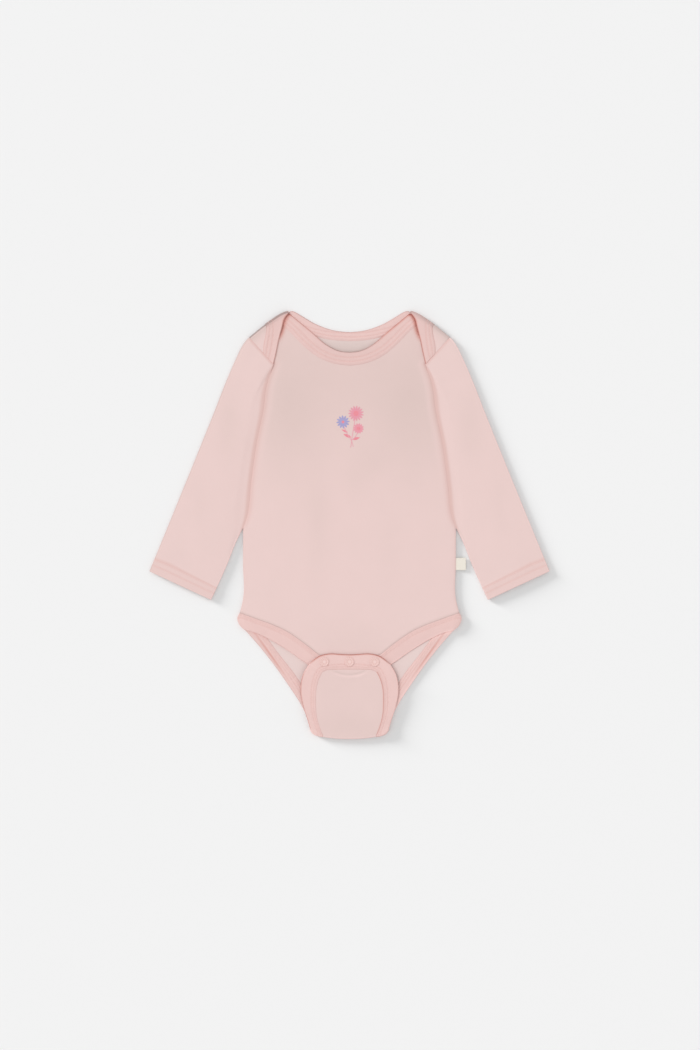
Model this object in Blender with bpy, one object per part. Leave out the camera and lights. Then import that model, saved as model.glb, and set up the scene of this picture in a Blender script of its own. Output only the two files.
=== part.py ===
"""A baby's long-sleeved bodysuit, lying flat on its back.

The collar points to +Y, the underside rests on Z = 0 and X = 0 runs down the middle of the garment.
Sizes are in millimetres and become metres where a mesh is written.

Every piece of cloth is a sheet with an outer and an inner face.  A sheet is built from grids of
point pairs (outer, inner).  Grids that share an edge are welded, each free edge is cut back by half
the seam gap, and the rim between the two faces is closed, so that a piece is one solid wall.  The
shoulder laps and the crotch flap are the back's own cloth: the sheet turns over a fold and comes
back on top of the front.
"""
import math
from collections import namedtuple

import bmesh
import bpy
import numpy as np
from mathutils import Vector

MM = 0.001

# ---------------------------------------------------------------- driving sizes, in millimetres
CLOTH = 1.0             # wall of the jersey panels
BINDING = 1.6           # wall of the rib binding, three layers pressed flat
GAP = 0.3               # space between pieces, beside a seam and between layers
HALF_WIDTH = 106.4      # half the body's width below the armholes
UNDERARM = (HALF_WIDTH, -3.5)
HIP_SEAM = (109.7, -88.0)       # where the leg binding starts on the side seam
HIP_TURN = (104.0, -106.2)      # where the rounded end of the leg binding meets the leg edge
NECK_POINT = (60.5, 210.8)      # the shoulder fold's end at the neck
SHOULDER_POINT = (99.2, 185.9)  # the shoulder fold's end at the sleeve
LAP_TIP = (76.0, 160.3)         # where the lap's edge meets the sleeve seam
LAP_SEAM_SHARE = 0.556          # share of the sleeve seam, from the shoulder, that is lap cloth
NECK_FOLD_SHARE = 0.47          # share of the shoulder fold that is neck binding
HEM_DEPTH = 13.5                # turned hem of a sleeve
HEM_RAISE = 0.35                # what the turned hem adds to the wall
SLEEVE_EDGE_HEIGHT = 2.8        # height of a sleeve along its folded edges
SNAP_RADIUS = 4.7
SNAP_Y = -137.2
SNAP_SPACING = 25.2
SNAP_SIDES = 20
LABEL_SIZE = (9.9, 12.4, 1.0)
LABEL_Y = -39.5
LABEL_BOTTOM = 0.65

# ---------------------------------------------------------------- how finely the sheets are cut
NECK_STEPS = 9          # along half a neck seam
SHOULDER_STEPS = 3      # along a shoulder, from the neck seam to the sleeve
LEG_STEPS = NECK_STEPS + SHOULDER_STEPS
SIDE_STEPS = 5          # along a side seam
ARMHOLE_STEPS = 8       # along an armhole below the lap
LAP_STEPS = 3           # along the sleeve seam of a lap
LAP_ROWS = 6            # along a lap's edge
FLAP_ROWS = 7           # along the side of the crotch flap
SLEEVE_ROWS = 10        # along a sleeve, to its hem
FOLD_STEPS = 6          # around a fold
HALF_TURN = math.pi

# ---------------------------------------------------------------- edges of the right half, as (x, y)
# The left half mirrors them.  Each curve runs through its points in order.
SHOULDER_FOLD = [NECK_POINT, (67.0, 208.2), (77.0, 202.2), SHOULDER_POINT]
FRONT_NECK_EDGE = [(0.0, 172.5), (11.0, 174.0), (20.5, 178.4), (40.0, 194.5)]
FRONT_NECK_SEAM = [(0.0, 158.9), (13.0, 160.4), (24.0, 163.8), (35.0, 169.7), (48.0, 180.7),
                   (60.0, 193.0)]
BACK_NECK_EDGE = [(0.0, 192.5), (14.4, 194.0), (33.5, 200.5), NECK_POINT]
BACK_NECK_SEAM = [(0.0, 183.5), (20.0, 185.0), (40.0, 189.8), (60.0, 196.0)]
LAP_SEAM = [(82.6, 196.0), (85.6, 178.5)]
LAP_EDGE = [NECK_POINT, (64.9, 205.4), (66.8, 199.0), (70.7, 184.3), (72.9, 173.2), LAP_TIP]
ARMHOLE_FRONT = [LAP_TIP, (83.0, 138.5), (86.0, 116.0), (92.8, 82.5), (98.3, 43.5), (102.6, 8.0), UNDERARM]
ARMHOLE_BACK = [SHOULDER_POINT, (91.0, 162.0), (89.0, 135.0), (93.0, 85.0), (99.5, 30.0), UNDERARM]
SIDE_SEAM = [UNDERARM, (HALF_WIDTH, -40.0), (HALF_WIDTH, -74.0), HIP_SEAM]
HIP_END = [HIP_SEAM, (112.2, -94.0), (110.0, -100.5), HIP_TURN]
FRONT_LEG_SEAM = [(0.0, -133.6), (16.0, -133.0), (28.5, -130.8), (39.0, -123.0), (50.6, -114.3),
                  (62.5, -106.5), (76.0, -100.2), (91.5, -94.5), HIP_SEAM]
FRONT_LEG_EDGE = [(0.0, -149.2), (20.0, -148.4), (33.0, -145.2), (42.0, -139.9), (60.5, -127.0),
                  (81.0, -114.6), (95.9, -108.0), HIP_TURN]
SEAT_SEAM = [HIP_SEAM, (97.0, -96.5), (84.0, -111.5), (70.9, -129.1), (54.2, -150.5), (40.5, -172.5),
             (33.0, -189.0)]
SEAT_EDGE = [HIP_TURN, (91.5, -120.3), (75.5, -140.5), (61.5, -160.3), (48.8, -180.0), (43.6, -190.5),
             (40.8, -200.0)]
CROTCH_FOLD = [(0.0, -212.8), (14.0, -212.2), (26.5, -210.6), (33.0, -209.0), (37.2, -206.8), (39.6, -203.6)]
FLAP_SIDE_SEAM = [(29.5, -203.0), (32.5, -192.0), (33.5, -176.0), (32.8, -163.5), (30.0, -153.5),
                  (27.0, -147.7)]
FLAP_TOP_SEAM = [(27.0, -147.7), (23.4, -145.8), (14.0, -145.1), (0.0, -145.1)]
FLAP_SIDE_EDGE = [(41.2, -198.2), (47.4, -177.5), (49.0, -165.5), (46.0, -148.7), (40.4, -139.4)]
FLAP_TOP_EDGE = [(40.4, -139.4), (29.6, -131.2), (20.0, -129.0), (9.0, -129.5), (0.0, -129.9)]
SLEEVE_OUTER = [(101.0, 187.5), (112.2, 169.5), (136.5, 109.5), (200.2, -46.9)]
SLEEVE_INNER = [(107.2, -4.6), (113.0, -16.5), (122.0, -39.0), (138.5, -75.5)]
SEAM_FOLD_X = 26.5      # where the flap's seam crosses the crotch fold
EDGE_FOLD_X = CROTCH_FOLD[-1][0]        # where the flap's edge crosses the crotch fold

# ---------------------------------------------------------------- heights
# Underside of the front: its height at the side, and how much more it rises in the middle.
FrontRise = namedtuple("FrontRise", "y seam crown")
FRONT_RISE = [FrontRise(-150, 1.9, 0.2), FrontRise(-131, 1.9, 0.3), FrontRise(-110, 1.9, 0.7),
              FrontRise(-90, 1.9, 1.3), FrontRise(-50, 1.3, 2.7), FrontRise(0, 1.3, 3.0),
              FrontRise(60, 1.3, 2.8), FrontRise(120, 1.3, 2.3), FrontRise(160, 1.4, 1.6),
              FrontRise(187, 1.9, 0.5), FrontRise(214, 1.9, 0.2)]
# Underside of the crotch flap, from its fold up to its top edge.
FlapRise = namedtuple("FlapRise", "y rise")
FLAP_RISE = [FlapRise(-215, 3.0), FlapRise(-205, 3.1), FlapRise(-185, 3.4), FlapRise(-165, 3.8),
             FlapRise(-150, 4.1), FlapRise(-128, 4.1)]
# Crown of a sleeve's top layer over its folded edges, from the armhole to the cuff.
SleeveCrown = namedtuple("SleeveCrown", "share crown")
SLEEVE_CROWN = [SleeveCrown(0.0, 0.5), SleeveCrown(0.3, 1.3), SleeveCrown(0.7, 1.1),
                SleeveCrown(1.0, 0.8)]
ARMHOLE_BLEND = 0.22    # share of the sleeve over which it settles from the armhole's height
# Direction in which the shoulder fold bulges, in degrees from +X, by share of its length.
FoldDirection = namedtuple("FoldDirection", "share degrees")
SHOULDER_DIRECTION = [FoldDirection(0.0, 67), FoldDirection(0.5, 54), FoldDirection(0.8, 52),
                      FoldDirection(1.0, 41)]
# Direction in which the crotch fold bulges, in degrees from +X, by distance from the middle.
CrotchDirection = namedtuple("CrotchDirection", "x degrees")
CROTCH_DIRECTION = [CrotchDirection(0.0, -90), CrotchDirection(SEAM_FOLD_X, -81), CrotchDirection(34.0, -84),
                    CrotchDirection(EDGE_FOLD_X, -104)]
UNDERARM_DIRECTION = -72.0      # degrees, where the sleeve's inner fold leaves the underarm
# A binding's thickness across its width, as a share of BINDING.
Across = namedtuple("Across", "share fullness")
ACROSS = [Across(0.0, 0.66), Across(0.18, 1.0), Across(0.82, 1.0), Across(1.0, 0.66)]
# Outline of a snap's cap, from its foot: shares of its radius, and heights in millimetres.
SnapRing = namedtuple("SnapRing", "radius height")
SNAP_PROFILE = [SnapRing(1.0, 0.0), SnapRing(1.0, 0.5), SnapRing(0.93, 0.75), SnapRing(0.8, 0.85)]


# ---------------------------------------------------------------- curves and profiles
def smooth(knots, steps=16):
    """A dense, rounded line through the knots."""
    points = np.array(knots, dtype=float)
    gaps = np.linalg.norm(np.diff(points, axis=0), axis=1)[:, None]
    slopes = np.diff(points, axis=0) / gaps
    tangents = np.vstack((slopes[:1], slopes))
    if len(points) > 2:
        tangents[1:-1] = (slopes[:-1] * gaps[1:] + slopes[1:] * gaps[:-1]) / (gaps[:-1] + gaps[1:])
        tangents[0] = (3 * slopes[0] - tangents[1]) / 2
        tangents[-1] = (3 * slopes[-1] - tangents[-2]) / 2
    line = []
    for index, gap in enumerate(gaps):
        for t in np.arange(steps) / steps:
            line.append((2 * t ** 3 - 3 * t ** 2 + 1) * points[index]
                        + (3 * t ** 2 - 2 * t ** 3) * points[index + 1]
                        + (t ** 3 - 2 * t ** 2 + t) * gap * tangents[index]
                        + (t ** 3 - t ** 2) * gap * tangents[index + 1])
    return np.array(line + [points[-1]])


def length_of(line):
    """Length of a line up to each of its points."""
    return np.concatenate(([0], np.cumsum(np.linalg.norm(np.diff(line, axis=0), axis=1))))


def along(knots, shares):
    """Points at the given shares of a curve's length."""
    line = smooth(knots)
    run = length_of(line)
    wanted = np.array(shares) * run[-1]
    return [(x, y) for x, y in zip(np.interp(wanted, run, line[:, 0]), np.interp(wanted, run, line[:, 1]))]


def even(count):
    """Shares that cut a length into equal steps."""
    return [step / count for step in range(count + 1)]


def reader(table, column):
    """A function that reads one column of a table, smoothly, by the table's first column."""
    line = smooth([(row[0], getattr(row, column)) for row in table])
    return lambda key: float(np.interp(key, line[:, 0], line[:, 1]))


def mirrored(points):
    """The same points on the other side of the garment."""
    return [(-x, y) for x, y in points]


def both_halves(half):
    """A curve from the left end to the right end, from its half that starts at the middle."""
    return mirrored(half[:0:-1]) + half


def between(start, end, share):
    """The point at a share of the way from start to end."""
    return tuple(a + (b - a) * share for a, b in zip(start, end))


def towards(degrees):
    """Unit direction in the plane."""
    return (math.cos(math.radians(degrees)), math.sin(math.radians(degrees)))


def stepped(point, direction, distance):
    """A point moved along a direction."""
    return (point[0] + direction[0] * distance, point[1] + direction[1] * distance)


# ---------------------------------------------------------------- the garment's shared lines
SHOULDER_DEGREES = reader(SHOULDER_DIRECTION, "degrees")
CROTCH_DEGREES = reader(CROTCH_DIRECTION, "degrees")
CROTCH_LINE = smooth(CROTCH_FOLD)
LAP_SEAM_END = between(SHOULDER_POINT, LAP_TIP, LAP_SEAM_SHARE)
FRONT_SIDE_LINE = [SHOULDER_POINT] + list(smooth(ARMHOLE_FRONT)) + list(smooth(SIDE_SEAM))
HALF_WIDTHS = np.array(sorted((y, x) for x, y in FRONT_SIDE_LINE))
FRONT_SHOULDER_INSET = 0.8      # how far the front ends inside the shoulder fold
FRONT_NECK_FOLD_SHARE = 0.31    # where the front neck seam meets the shoulder


def shoulder_fold(shares):
    """Points of the shoulder fold and the directions in which it bulges there."""
    return along(SHOULDER_FOLD, shares), [towards(SHOULDER_DEGREES(share)) for share in shares]


def front_shoulder(shares):
    """The front's own end, just inside the shoulder fold."""
    points, directions = shoulder_fold(shares)
    return [stepped(point, direction, -FRONT_SHOULDER_INSET) for point, direction in zip(points, directions)]


def crotch_fold(offsets):
    """Points of the crotch fold and the directions in which it bulges there."""
    points = [(x, float(np.interp(x, CROTCH_LINE[:, 0], CROTCH_LINE[:, 1]))) for x in offsets]
    return points, [towards(CROTCH_DEGREES(x)) for x in offsets]


def front_neck_seam():
    """Half the seam between the front and its neck binding, from the middle."""
    return along(FRONT_NECK_SEAM + front_shoulder([FRONT_NECK_FOLD_SHARE]), even(NECK_STEPS))


def back_neck_seam():
    """Half the seam between the back and its neck binding, from the middle."""
    return along(BACK_NECK_SEAM + shoulder_fold([NECK_FOLD_SHARE])[0], even(NECK_STEPS))


def front_leg_seam():
    """Half the seam between the front and the leg binding, from the middle."""
    return along(FRONT_LEG_SEAM, even(LEG_STEPS))


def seat_seam():
    """The seam between the back and its leg binding, from the hip to the crotch fold."""
    return along(SEAT_SEAM + crotch_fold([SEAM_FOLD_X])[0], even(LEG_STEPS))


def flap_side_seam():
    """The flap's side seam, from the crotch fold to the corner."""
    return along(crotch_fold([SEAM_FOLD_X])[0] + FLAP_SIDE_SEAM, even(FLAP_ROWS))


def flap_top_seam():
    """Half the flap's top seam, from the middle to the corner."""
    return along(FLAP_TOP_SEAM[::-1], even(LEG_STEPS))


def armhole_front():
    """The front's armhole, from the underarm to the shoulder."""
    lower = along(ARMHOLE_FRONT[::-1], even(ARMHOLE_STEPS))
    upper = along([LAP_TIP, SHOULDER_POINT], even(LAP_STEPS))
    return lower + upper[1:]


def armhole_back():
    """The back's armhole, from the underarm to the shoulder."""
    return along(ARMHOLE_BACK[::-1], even(ARMHOLE_STEPS + LAP_STEPS))


def side_seam():
    """The side seam, from the hip to the underarm."""
    return along(SIDE_SEAM[::-1], even(SIDE_STEPS))


# ---------------------------------------------------------------- heights of the layers
READ_SEAM = reader(FRONT_RISE, "seam")
READ_CROWN = reader(FRONT_RISE, "crown")
READ_FLAP = reader(FLAP_RISE, "rise")
READ_SLEEVE = reader(SLEEVE_CROWN, "crown")


def front_rise(x, y):
    """Height of the front's underside: lowest at its sides, crowned in the middle."""
    half = np.interp(y, HALF_WIDTHS[:, 0], HALF_WIDTHS[:, 1])
    reach = min(abs(x) / half, 1.0)
    return READ_SEAM(y) + READ_CROWN(y) * (1 - reach ** 2)


def lap_rise(x, y):
    """Height of a shoulder lap's underside: clear of the front's binding."""
    return front_rise(x, y) + BINDING + GAP


def flap_rise(_, y):
    """Height of the crotch flap's underside, the same right across."""
    return READ_FLAP(y)


# ---------------------------------------------------------------- sheets of point pairs
def grid_between(near, far, left, right):
    """Rows of points filling the space between four edges; each row runs from left to right."""
    rows = []
    for row, (start, end) in enumerate(zip(left, right)):
        v = row / (len(left) - 1)
        points = []
        for column, (low, high) in enumerate(zip(near, far)):
            u = column / (len(near) - 1)
            sideways = np.array(between(start, end, u))
            upwards = np.array(between(low, high, v))
            corners = np.array(between(between(near[0], near[-1], u), between(far[0], far[-1], u), v))
            points.append(tuple(sideways + upwards - corners))
        rows.append(points)
    return rows


def below(rows, wall):
    """A sheet lying on the floor: its outer face is underneath."""
    return [[(Vector((x, y, 0)), Vector((x, y, wall))) for x, y in row] for row in rows]


def above(rows, rise, wall):
    """A sheet lying on others: its outer face is on top, its inner face at the height that rise gives."""
    return [[(Vector((x, y, rise(x, y) + wall)), Vector((x, y, rise(x, y)))) for x, y in row] for row in rows]


def folded(feet, directions, heights, walls):
    """A sheet turning over a fold, from its layer on the floor to its layer on top."""
    rows = []
    for step in range(FOLD_STEPS + 1):
        turn = HALF_TURN * step / FOLD_STEPS
        row = []
        for foot, direction, height, wall in zip(feet, directions, heights, walls):
            outer = height / 2
            inner = outer - wall
            out = stepped(foot, direction, outer * math.sin(turn))
            back = stepped(foot, direction, inner * math.sin(turn))
            row.append((Vector((*out, outer - outer * math.cos(turn))),
                        Vector((*back, outer - inner * math.cos(turn)))))
        rows.append(row)
    return rows


def across(curve):
    """Points across a binding's width, along a curve from its seam to its edge."""
    return along(curve, [row.share for row in ACROSS])


def strip(seam, edge, first=None, last=None):
    """Points across a binding, row by row; the first and last row may be given."""
    rows = [across(ends) for ends in zip(seam, edge)]
    rows[0] = first or rows[0]
    rows[-1] = last or rows[-1]
    return rows


def binding_below(rows):
    """A binding on the floor, thinner towards its edges."""
    walls = [BINDING * row.fullness for row in ACROSS]
    return [[(Vector((x, y, 0)), Vector((x, y, wall))) for (x, y), wall in zip(row, walls)] for row in rows]


def binding_above(rows, rise):
    """A binding on top of other layers, thinner towards its edges."""
    walls = [BINDING * row.fullness for row in ACROSS]
    return [[(Vector((x, y, rise(x, y) + wall)), Vector((x, y, rise(x, y))))
             for (x, y), wall in zip(row, walls)] for row in rows]


def other_side(rows):
    """A sheet mirrored to the left half."""
    flip = Vector((-1, 1, 1))
    return [[(outer * flip, inner * flip) for outer, inner in row] for row in rows]


# ---------------------------------------------------------------- solids
def paint(name, red, green, blue, roughness):
    """A cloth colour given as it is seen, from 0 to 255."""
    material = bpy.data.materials.new(name)
    material.use_nodes = True
    shader = material.node_tree.nodes["Principled BSDF"]
    linear = [(channel / 255) ** 2.2 for channel in (red, green, blue)]
    shader.inputs["Base Color"].default_value = (*linear, 1)
    shader.inputs["Roughness"].default_value = roughness
    shader.inputs["Metallic"].default_value = 0
    return material


def add_object(name, mesh, material, flat_angle=40):
    """Put a finished mesh into the scene."""
    mesh.shade_smooth()
    mesh.set_sharp_from_angle(angle=math.radians(flat_angle))
    mesh.materials.append(material)
    piece = bpy.data.objects.new(name, mesh)
    bpy.context.scene.collection.objects.link(piece)
    return piece


def weld(sheets):
    """One list of point pairs, and faces that index it, from grids that share edges."""
    pairs, faces, index_of = [], [], {}

    def index(pair):
        key = tuple(round(value, 3) for point in pair for value in point)
        if key not in index_of:
            index_of[key] = len(pairs)
            pairs.append(pair)
        return index_of[key]

    for rows in sheets:
        numbers = [[index(pair) for pair in row] for row in rows]
        for low, high in zip(numbers, numbers[1:]):
            for corners in zip(low, low[1:], high[1:], high):
                face = list(dict.fromkeys(corners))
                if len(face) > 2:
                    faces.append(face)
    return pairs, faces


def free_edges(faces):
    """The edges that belong to one face only, each with that face."""
    owners = {}
    for face in faces:
        for edge in zip(face, face[1:] + face[:1]):
            owners.setdefault(frozenset(edge), []).append(face)
    return [(tuple(edge), found[0]) for edge, found in owners.items() if len(found) == 1]


def cut_back(pairs, faces, distance):
    """Move the sheet's free edges inwards, along the sheet, by a distance."""
    inward = {}
    for (start, end), face in free_edges(faces):
        run = (pairs[end][0] - pairs[start][0]).normalized()
        middle = sum((pairs[corner][0] for corner in face), Vector()) / len(face)
        thickness = pairs[start][0] - pairs[start][1] + pairs[end][0] - pairs[end][1]
        side = run.cross(thickness).normalized()
        if side.dot(middle - pairs[start][0]) < 0:
            side.negate()
        inward.setdefault(start, []).append(side)
        inward.setdefault(end, []).append(side)
    moved = list(pairs)
    for corner, (first, second) in inward.items():
        shift = (first + second) * distance / max(1 + first.dot(second), 0.4)
        moved[corner] = tuple(point + shift for point in pairs[corner])
    return moved


def cloth(name, material, sheets):
    """One solid wall of cloth from welded sheets."""
    pairs, faces = weld(sheets)
    pairs = cut_back(pairs, faces, GAP / 2)
    solid = bmesh.new()
    outer = [solid.verts.new(pair[0] * MM) for pair in pairs]
    inner = [solid.verts.new(pair[1] * MM) for pair in pairs]
    for face in faces:
        solid.faces.new([outer[corner] for corner in face])
        solid.faces.new([inner[corner] for corner in reversed(face)])
    for (start, end), _ in free_edges(faces):
        solid.faces.new([outer[start], outer[end], inner[end], inner[start]])
    bmesh.ops.recalc_face_normals(solid, faces=solid.faces)
    mesh = bpy.data.meshes.new(name)
    solid.to_mesh(mesh)
    solid.free()
    return add_object(name, mesh, material)


# ---------------------------------------------------------------- panels
def back_body():
    """Back, with both shoulder laps and the crotch flap folded over onto the front."""
    shoulder_shares = [NECK_FOLD_SHARE + (1 - NECK_FOLD_SHARE) * share for share in even(SHOULDER_STEPS)]
    shoulder, shoulder_out = shoulder_fold(shoulder_shares)
    crotch, crotch_out = crotch_fold([SEAM_FOLD_X * share for share in even(LEG_STEPS)])
    top = both_halves(back_neck_seam() + shoulder[1:])
    bottom = both_halves(crotch)
    right = seat_seam()[::-1] + side_seam()[1:] + armhole_back()[1:]
    sheets = [below(grid_between(bottom, top, mirrored(right), right), CLOTH)]

    lap_heights = [lap_rise(*point) + CLOTH for point in shoulder]
    lap_fold = folded(shoulder, shoulder_out, lap_heights, [CLOTH] * len(shoulder))
    lap_line = along(shoulder[:1] + LAP_SEAM + [LAP_SEAM_END], even(LAP_ROWS))
    sleeve_line = along([SHOULDER_POINT, LAP_SEAM_END], even(LAP_ROWS))
    lap_plan = grid_between(shoulder, [LAP_SEAM_END] * len(shoulder), lap_line, sleeve_line)
    for sheet in (lap_fold, above(lap_plan, lap_rise, CLOTH)):
        sheets += [sheet, other_side(sheet)]

    crotch_heights = [flap_rise(*point) + CLOTH for point in bottom]
    sheets.append(folded(bottom, both_halves(crotch_out), crotch_heights, [CLOTH] * len(bottom)))
    side = flap_side_seam()
    flap = grid_between(bottom, both_halves(flap_top_seam()), mirrored(side), side)
    sheets.append(above(flap, flap_rise, CLOTH))
    return cloth("back_body", paint("back_jersey", 226, 205, 201, 0.85), sheets)


def front_body():
    """Front, with its shoulders under the laps and its end under the crotch flap."""
    shares = [FRONT_NECK_FOLD_SHARE + (1 - FRONT_NECK_FOLD_SHARE) * share for share in even(SHOULDER_STEPS)]
    top = both_halves(front_neck_seam() + front_shoulder(shares)[1:])
    bottom = both_halves(front_leg_seam())
    right = side_seam() + armhole_front()[1:-1] + top[-1:]
    grid = grid_between(bottom, top, mirrored(right), right)
    return cloth("front_body", paint("front_jersey", 231, 205, 201, 0.85), [above(grid, front_rise, CLOTH)])


# ---------------------------------------------------------------- bindings
def front_neck_binding():
    """Binding of the front neck, its ends under the laps."""
    edge = along(FRONT_NECK_EDGE + front_shoulder([0.0]), even(NECK_STEPS))
    rows = strip(both_halves(front_neck_seam()), both_halves(edge))
    return cloth("front_neck_binding", paint("front_neck_rib", 232, 199, 194, 0.9),
                 [binding_above(rows, front_rise)])


def back_neck_binding():
    """One strip round the back neck, over both shoulders and down both lap edges."""
    shares = [NECK_FOLD_SHARE * (1 - row.share) for row in ACROSS]
    feet, directions = shoulder_fold(shares)
    walls = [BINDING * row.fullness for row in ACROSS]
    heights = [lap_rise(*foot) + wall for foot, wall in zip(feet, walls)]
    fold = folded(feet, directions, heights, walls)
    lap_seam = along(feet[:1] + LAP_SEAM + [LAP_SEAM_END], even(LAP_ROWS))
    lap_rows = strip(lap_seam, along(LAP_EDGE, even(LAP_ROWS)), first=feet)
    neck_edge = along(BACK_NECK_EDGE, even(NECK_STEPS))
    neck_rows = strip(both_halves(back_neck_seam()), both_halves(neck_edge), mirrored(feet), feet)
    lap = binding_above(lap_rows, lap_rise)
    return cloth("back_neck_binding", paint("back_neck_rib", 232, 200, 195, 0.9),
                 [binding_below(neck_rows), fold, other_side(fold), lap, other_side(lap)])


def front_leg_binding():
    """One strip along both front leg edges and round the end of the front."""
    edge = along(FRONT_LEG_EDGE, even(LEG_STEPS))
    end = across(HIP_END)
    rows = strip(both_halves(front_leg_seam()), both_halves(edge), mirrored(end), end)
    return cloth("front_leg_binding", paint("front_leg_rib", 234, 202, 198, 0.9),
                 [binding_above(rows, front_rise)])


def seat_binding():
    """One strip along both back leg edges, over the crotch fold and round the flap."""
    offsets = [SEAM_FOLD_X + (EDGE_FOLD_X - SEAM_FOLD_X) * row.share for row in ACROSS]
    feet, directions = crotch_fold(offsets)
    walls = [BINDING * row.fullness for row in ACROSS]
    fold = folded(feet, directions, [flap_rise(*foot) + wall for foot, wall in zip(feet, walls)], walls)
    leg = strip(seat_seam(), along(SEAT_EDGE + feet[-1:], even(LEG_STEPS)), across(HIP_END), feet)
    side = strip(flap_side_seam(), along(feet[-1:] + FLAP_SIDE_EDGE, even(FLAP_ROWS)), feet)
    top = strip(both_halves(flap_top_seam()), both_halves(along(FLAP_TOP_EDGE[::-1], even(LEG_STEPS))))
    sheets = [binding_above(top, flap_rise)]
    for sheet in (binding_below(leg), fold, binding_above(side, flap_rise)):
        sheets += [sheet, other_side(sheet)]
    return cloth("seat_binding", paint("seat_rib", 234, 201, 196, 0.9), sheets)


# ---------------------------------------------------------------- sleeves
def outward(points, start_degrees, turn):
    """Directions square to a line of points, on one side of it, with the first one given."""
    directions = [towards(start_degrees)]
    for before, after in zip(points, points[2:] + points[-1:]):
        x, y = after[0] - before[0], after[1] - before[1]
        size = math.hypot(x, y)
        directions.append((-y / size * turn, x / size * turn))
    return directions


def sleeve_edge(silhouette, start, start_height, start_degrees, turn):
    """Feet and directions of a sleeve's folded edge, from the armhole to the cuff."""
    length = length_of(smooth(silhouette))[-1]
    hem = 1 - HEM_DEPTH / length
    step = HEM_RAISE / length
    shares = [(hem - step) * share for share in even(SLEEVE_ROWS)] + [hem + step, 1.0]
    visible = along(silhouette, shares)
    directions = outward(visible, start_degrees, turn)
    feet = [start]
    for row in range(1, len(visible)):
        radius = sleeve_height(row, 0.0, start_height) / 2
        feet.append(stepped(visible[row], directions[row], -radius))
    return feet, directions


def sleeve_wall(row):
    """Wall of a sleeve at a row: the turned hem is thicker."""
    return CLOTH + (HEM_RAISE if row > SLEEVE_ROWS else 0)


def sleeve_height(row, reach, armhole_height):
    """Height of a sleeve's top face at a row, at a reach from 0 to 1 across its width."""
    share = row / (SLEEVE_ROWS + 2)
    settle = min(share / ARMHOLE_BLEND, 1.0)
    settle = settle * settle * (3 - 2 * settle)
    crown = READ_SLEEVE(share) * (4 * reach * (1 - reach)) ** 0.75
    open_height = SLEEVE_EDGE_HEIGHT + crown + sleeve_wall(row) - CLOTH
    return armhole_height + (open_height - armhole_height) * settle


def right_sleeve_sheets():
    """Top layer, bottom layer and both folded edges of the sleeve on the +X side."""
    top_line, bottom_line = armhole_front(), armhole_back()
    armhole_heights = [(lap_rise if step >= ARMHOLE_STEPS else front_rise)(*point) + CLOTH
                       for step, point in enumerate(top_line)]
    inner, inner_out = sleeve_edge(SLEEVE_INNER, UNDERARM, armhole_heights[0], UNDERARM_DIRECTION, -1)
    outer, outer_out = sleeve_edge(SLEEVE_OUTER, SHOULDER_POINT, armhole_heights[-1],
                                   SHOULDER_DEGREES(1.0), 1)
    cuff = [between(inner[-1], outer[-1], share) for share in even(len(top_line) - 1)]
    top, bottom = [], []
    top_plan = grid_between(top_line, cuff, inner, outer)
    bottom_plan = grid_between(bottom_line, cuff, inner, outer)
    for row, (upper, lower) in enumerate(zip(top_plan, bottom_plan)):
        wall = sleeve_wall(row)
        heights = [sleeve_height(row, column / (len(upper) - 1), armhole_heights[column])
                   for column in range(len(upper))]
        top.append([(Vector((x, y, height)), Vector((x, y, height - wall)))
                    for (x, y), height in zip(upper, heights)])
        bottom.append([(Vector((x, y, 0)), Vector((x, y, wall))) for x, y in lower])
    walls = [sleeve_wall(row) for row in range(len(inner))]
    inner_fold = folded(inner, inner_out, [row[0][0].z for row in top], walls)
    outer_fold = folded(outer, outer_out, [row[-1][0].z for row in top], walls)
    return [top, bottom, inner_fold, outer_fold]


def sleeves():
    """Both sleeves, flat tubes that are open at the armhole and the cuff."""
    right = right_sleeve_sheets()
    cloth("sleeve_right", paint("sleeve_right_jersey", 233, 209, 205, 0.85), right)
    left = [other_side(sheet) for sheet in right]
    cloth("sleeve_left", paint("sleeve_left_jersey", 233, 209, 205, 0.85), left)


# ---------------------------------------------------------------- snaps and label
def snap(name, x, material):
    """A snap's outer cap: a low round button with a rounded rim."""
    base = flap_rise(x, SNAP_Y) + BINDING + GAP
    solid = bmesh.new()
    rings = []
    for profile in SNAP_PROFILE:
        radius = SNAP_RADIUS * profile.radius
        turns = [2 * HALF_TURN * side / SNAP_SIDES for side in range(SNAP_SIDES)]
        rings.append([solid.verts.new(Vector((x + radius * math.cos(turn), SNAP_Y + radius * math.sin(turn),
                                              base + profile.height)) * MM) for turn in turns])
    for low, high in zip(rings, rings[1:]):
        for side in range(SNAP_SIDES):
            after = (side + 1) % SNAP_SIDES
            solid.faces.new([low[side], low[after], high[after], high[side]])
    solid.faces.new(rings[0][::-1])
    solid.faces.new(rings[-1])
    bmesh.ops.recalc_face_normals(solid, faces=solid.faces)
    mesh = bpy.data.meshes.new(name)
    solid.to_mesh(mesh)
    solid.free()
    return add_object(name, mesh, material)


def snaps():
    """Three snaps on the flap's top band."""
    for name, place in (("snap_left", -1), ("snap_middle", 0), ("snap_right", 1)):
        snap(name, place * SNAP_SPACING, paint(name + "_plastic", 236, 205, 201, 0.45))


def side_label():
    """A bare folded tape that stands out of the right side seam."""
    width, length, thickness = LABEL_SIZE
    solid = bmesh.new()
    bmesh.ops.create_cube(solid, size=1)
    for corner in solid.verts:
        corner.co = Vector((corner.co.x * width + HALF_WIDTH + GAP + width / 2,
                            corner.co.y * length + LABEL_Y,
                            corner.co.z * thickness + LABEL_BOTTOM + thickness / 2)) * MM
    mesh = bpy.data.meshes.new("side_label")
    solid.to_mesh(mesh)
    solid.free()
    return add_object("side_label", mesh, paint("label_tape", 236, 228, 210, 0.8))


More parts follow.
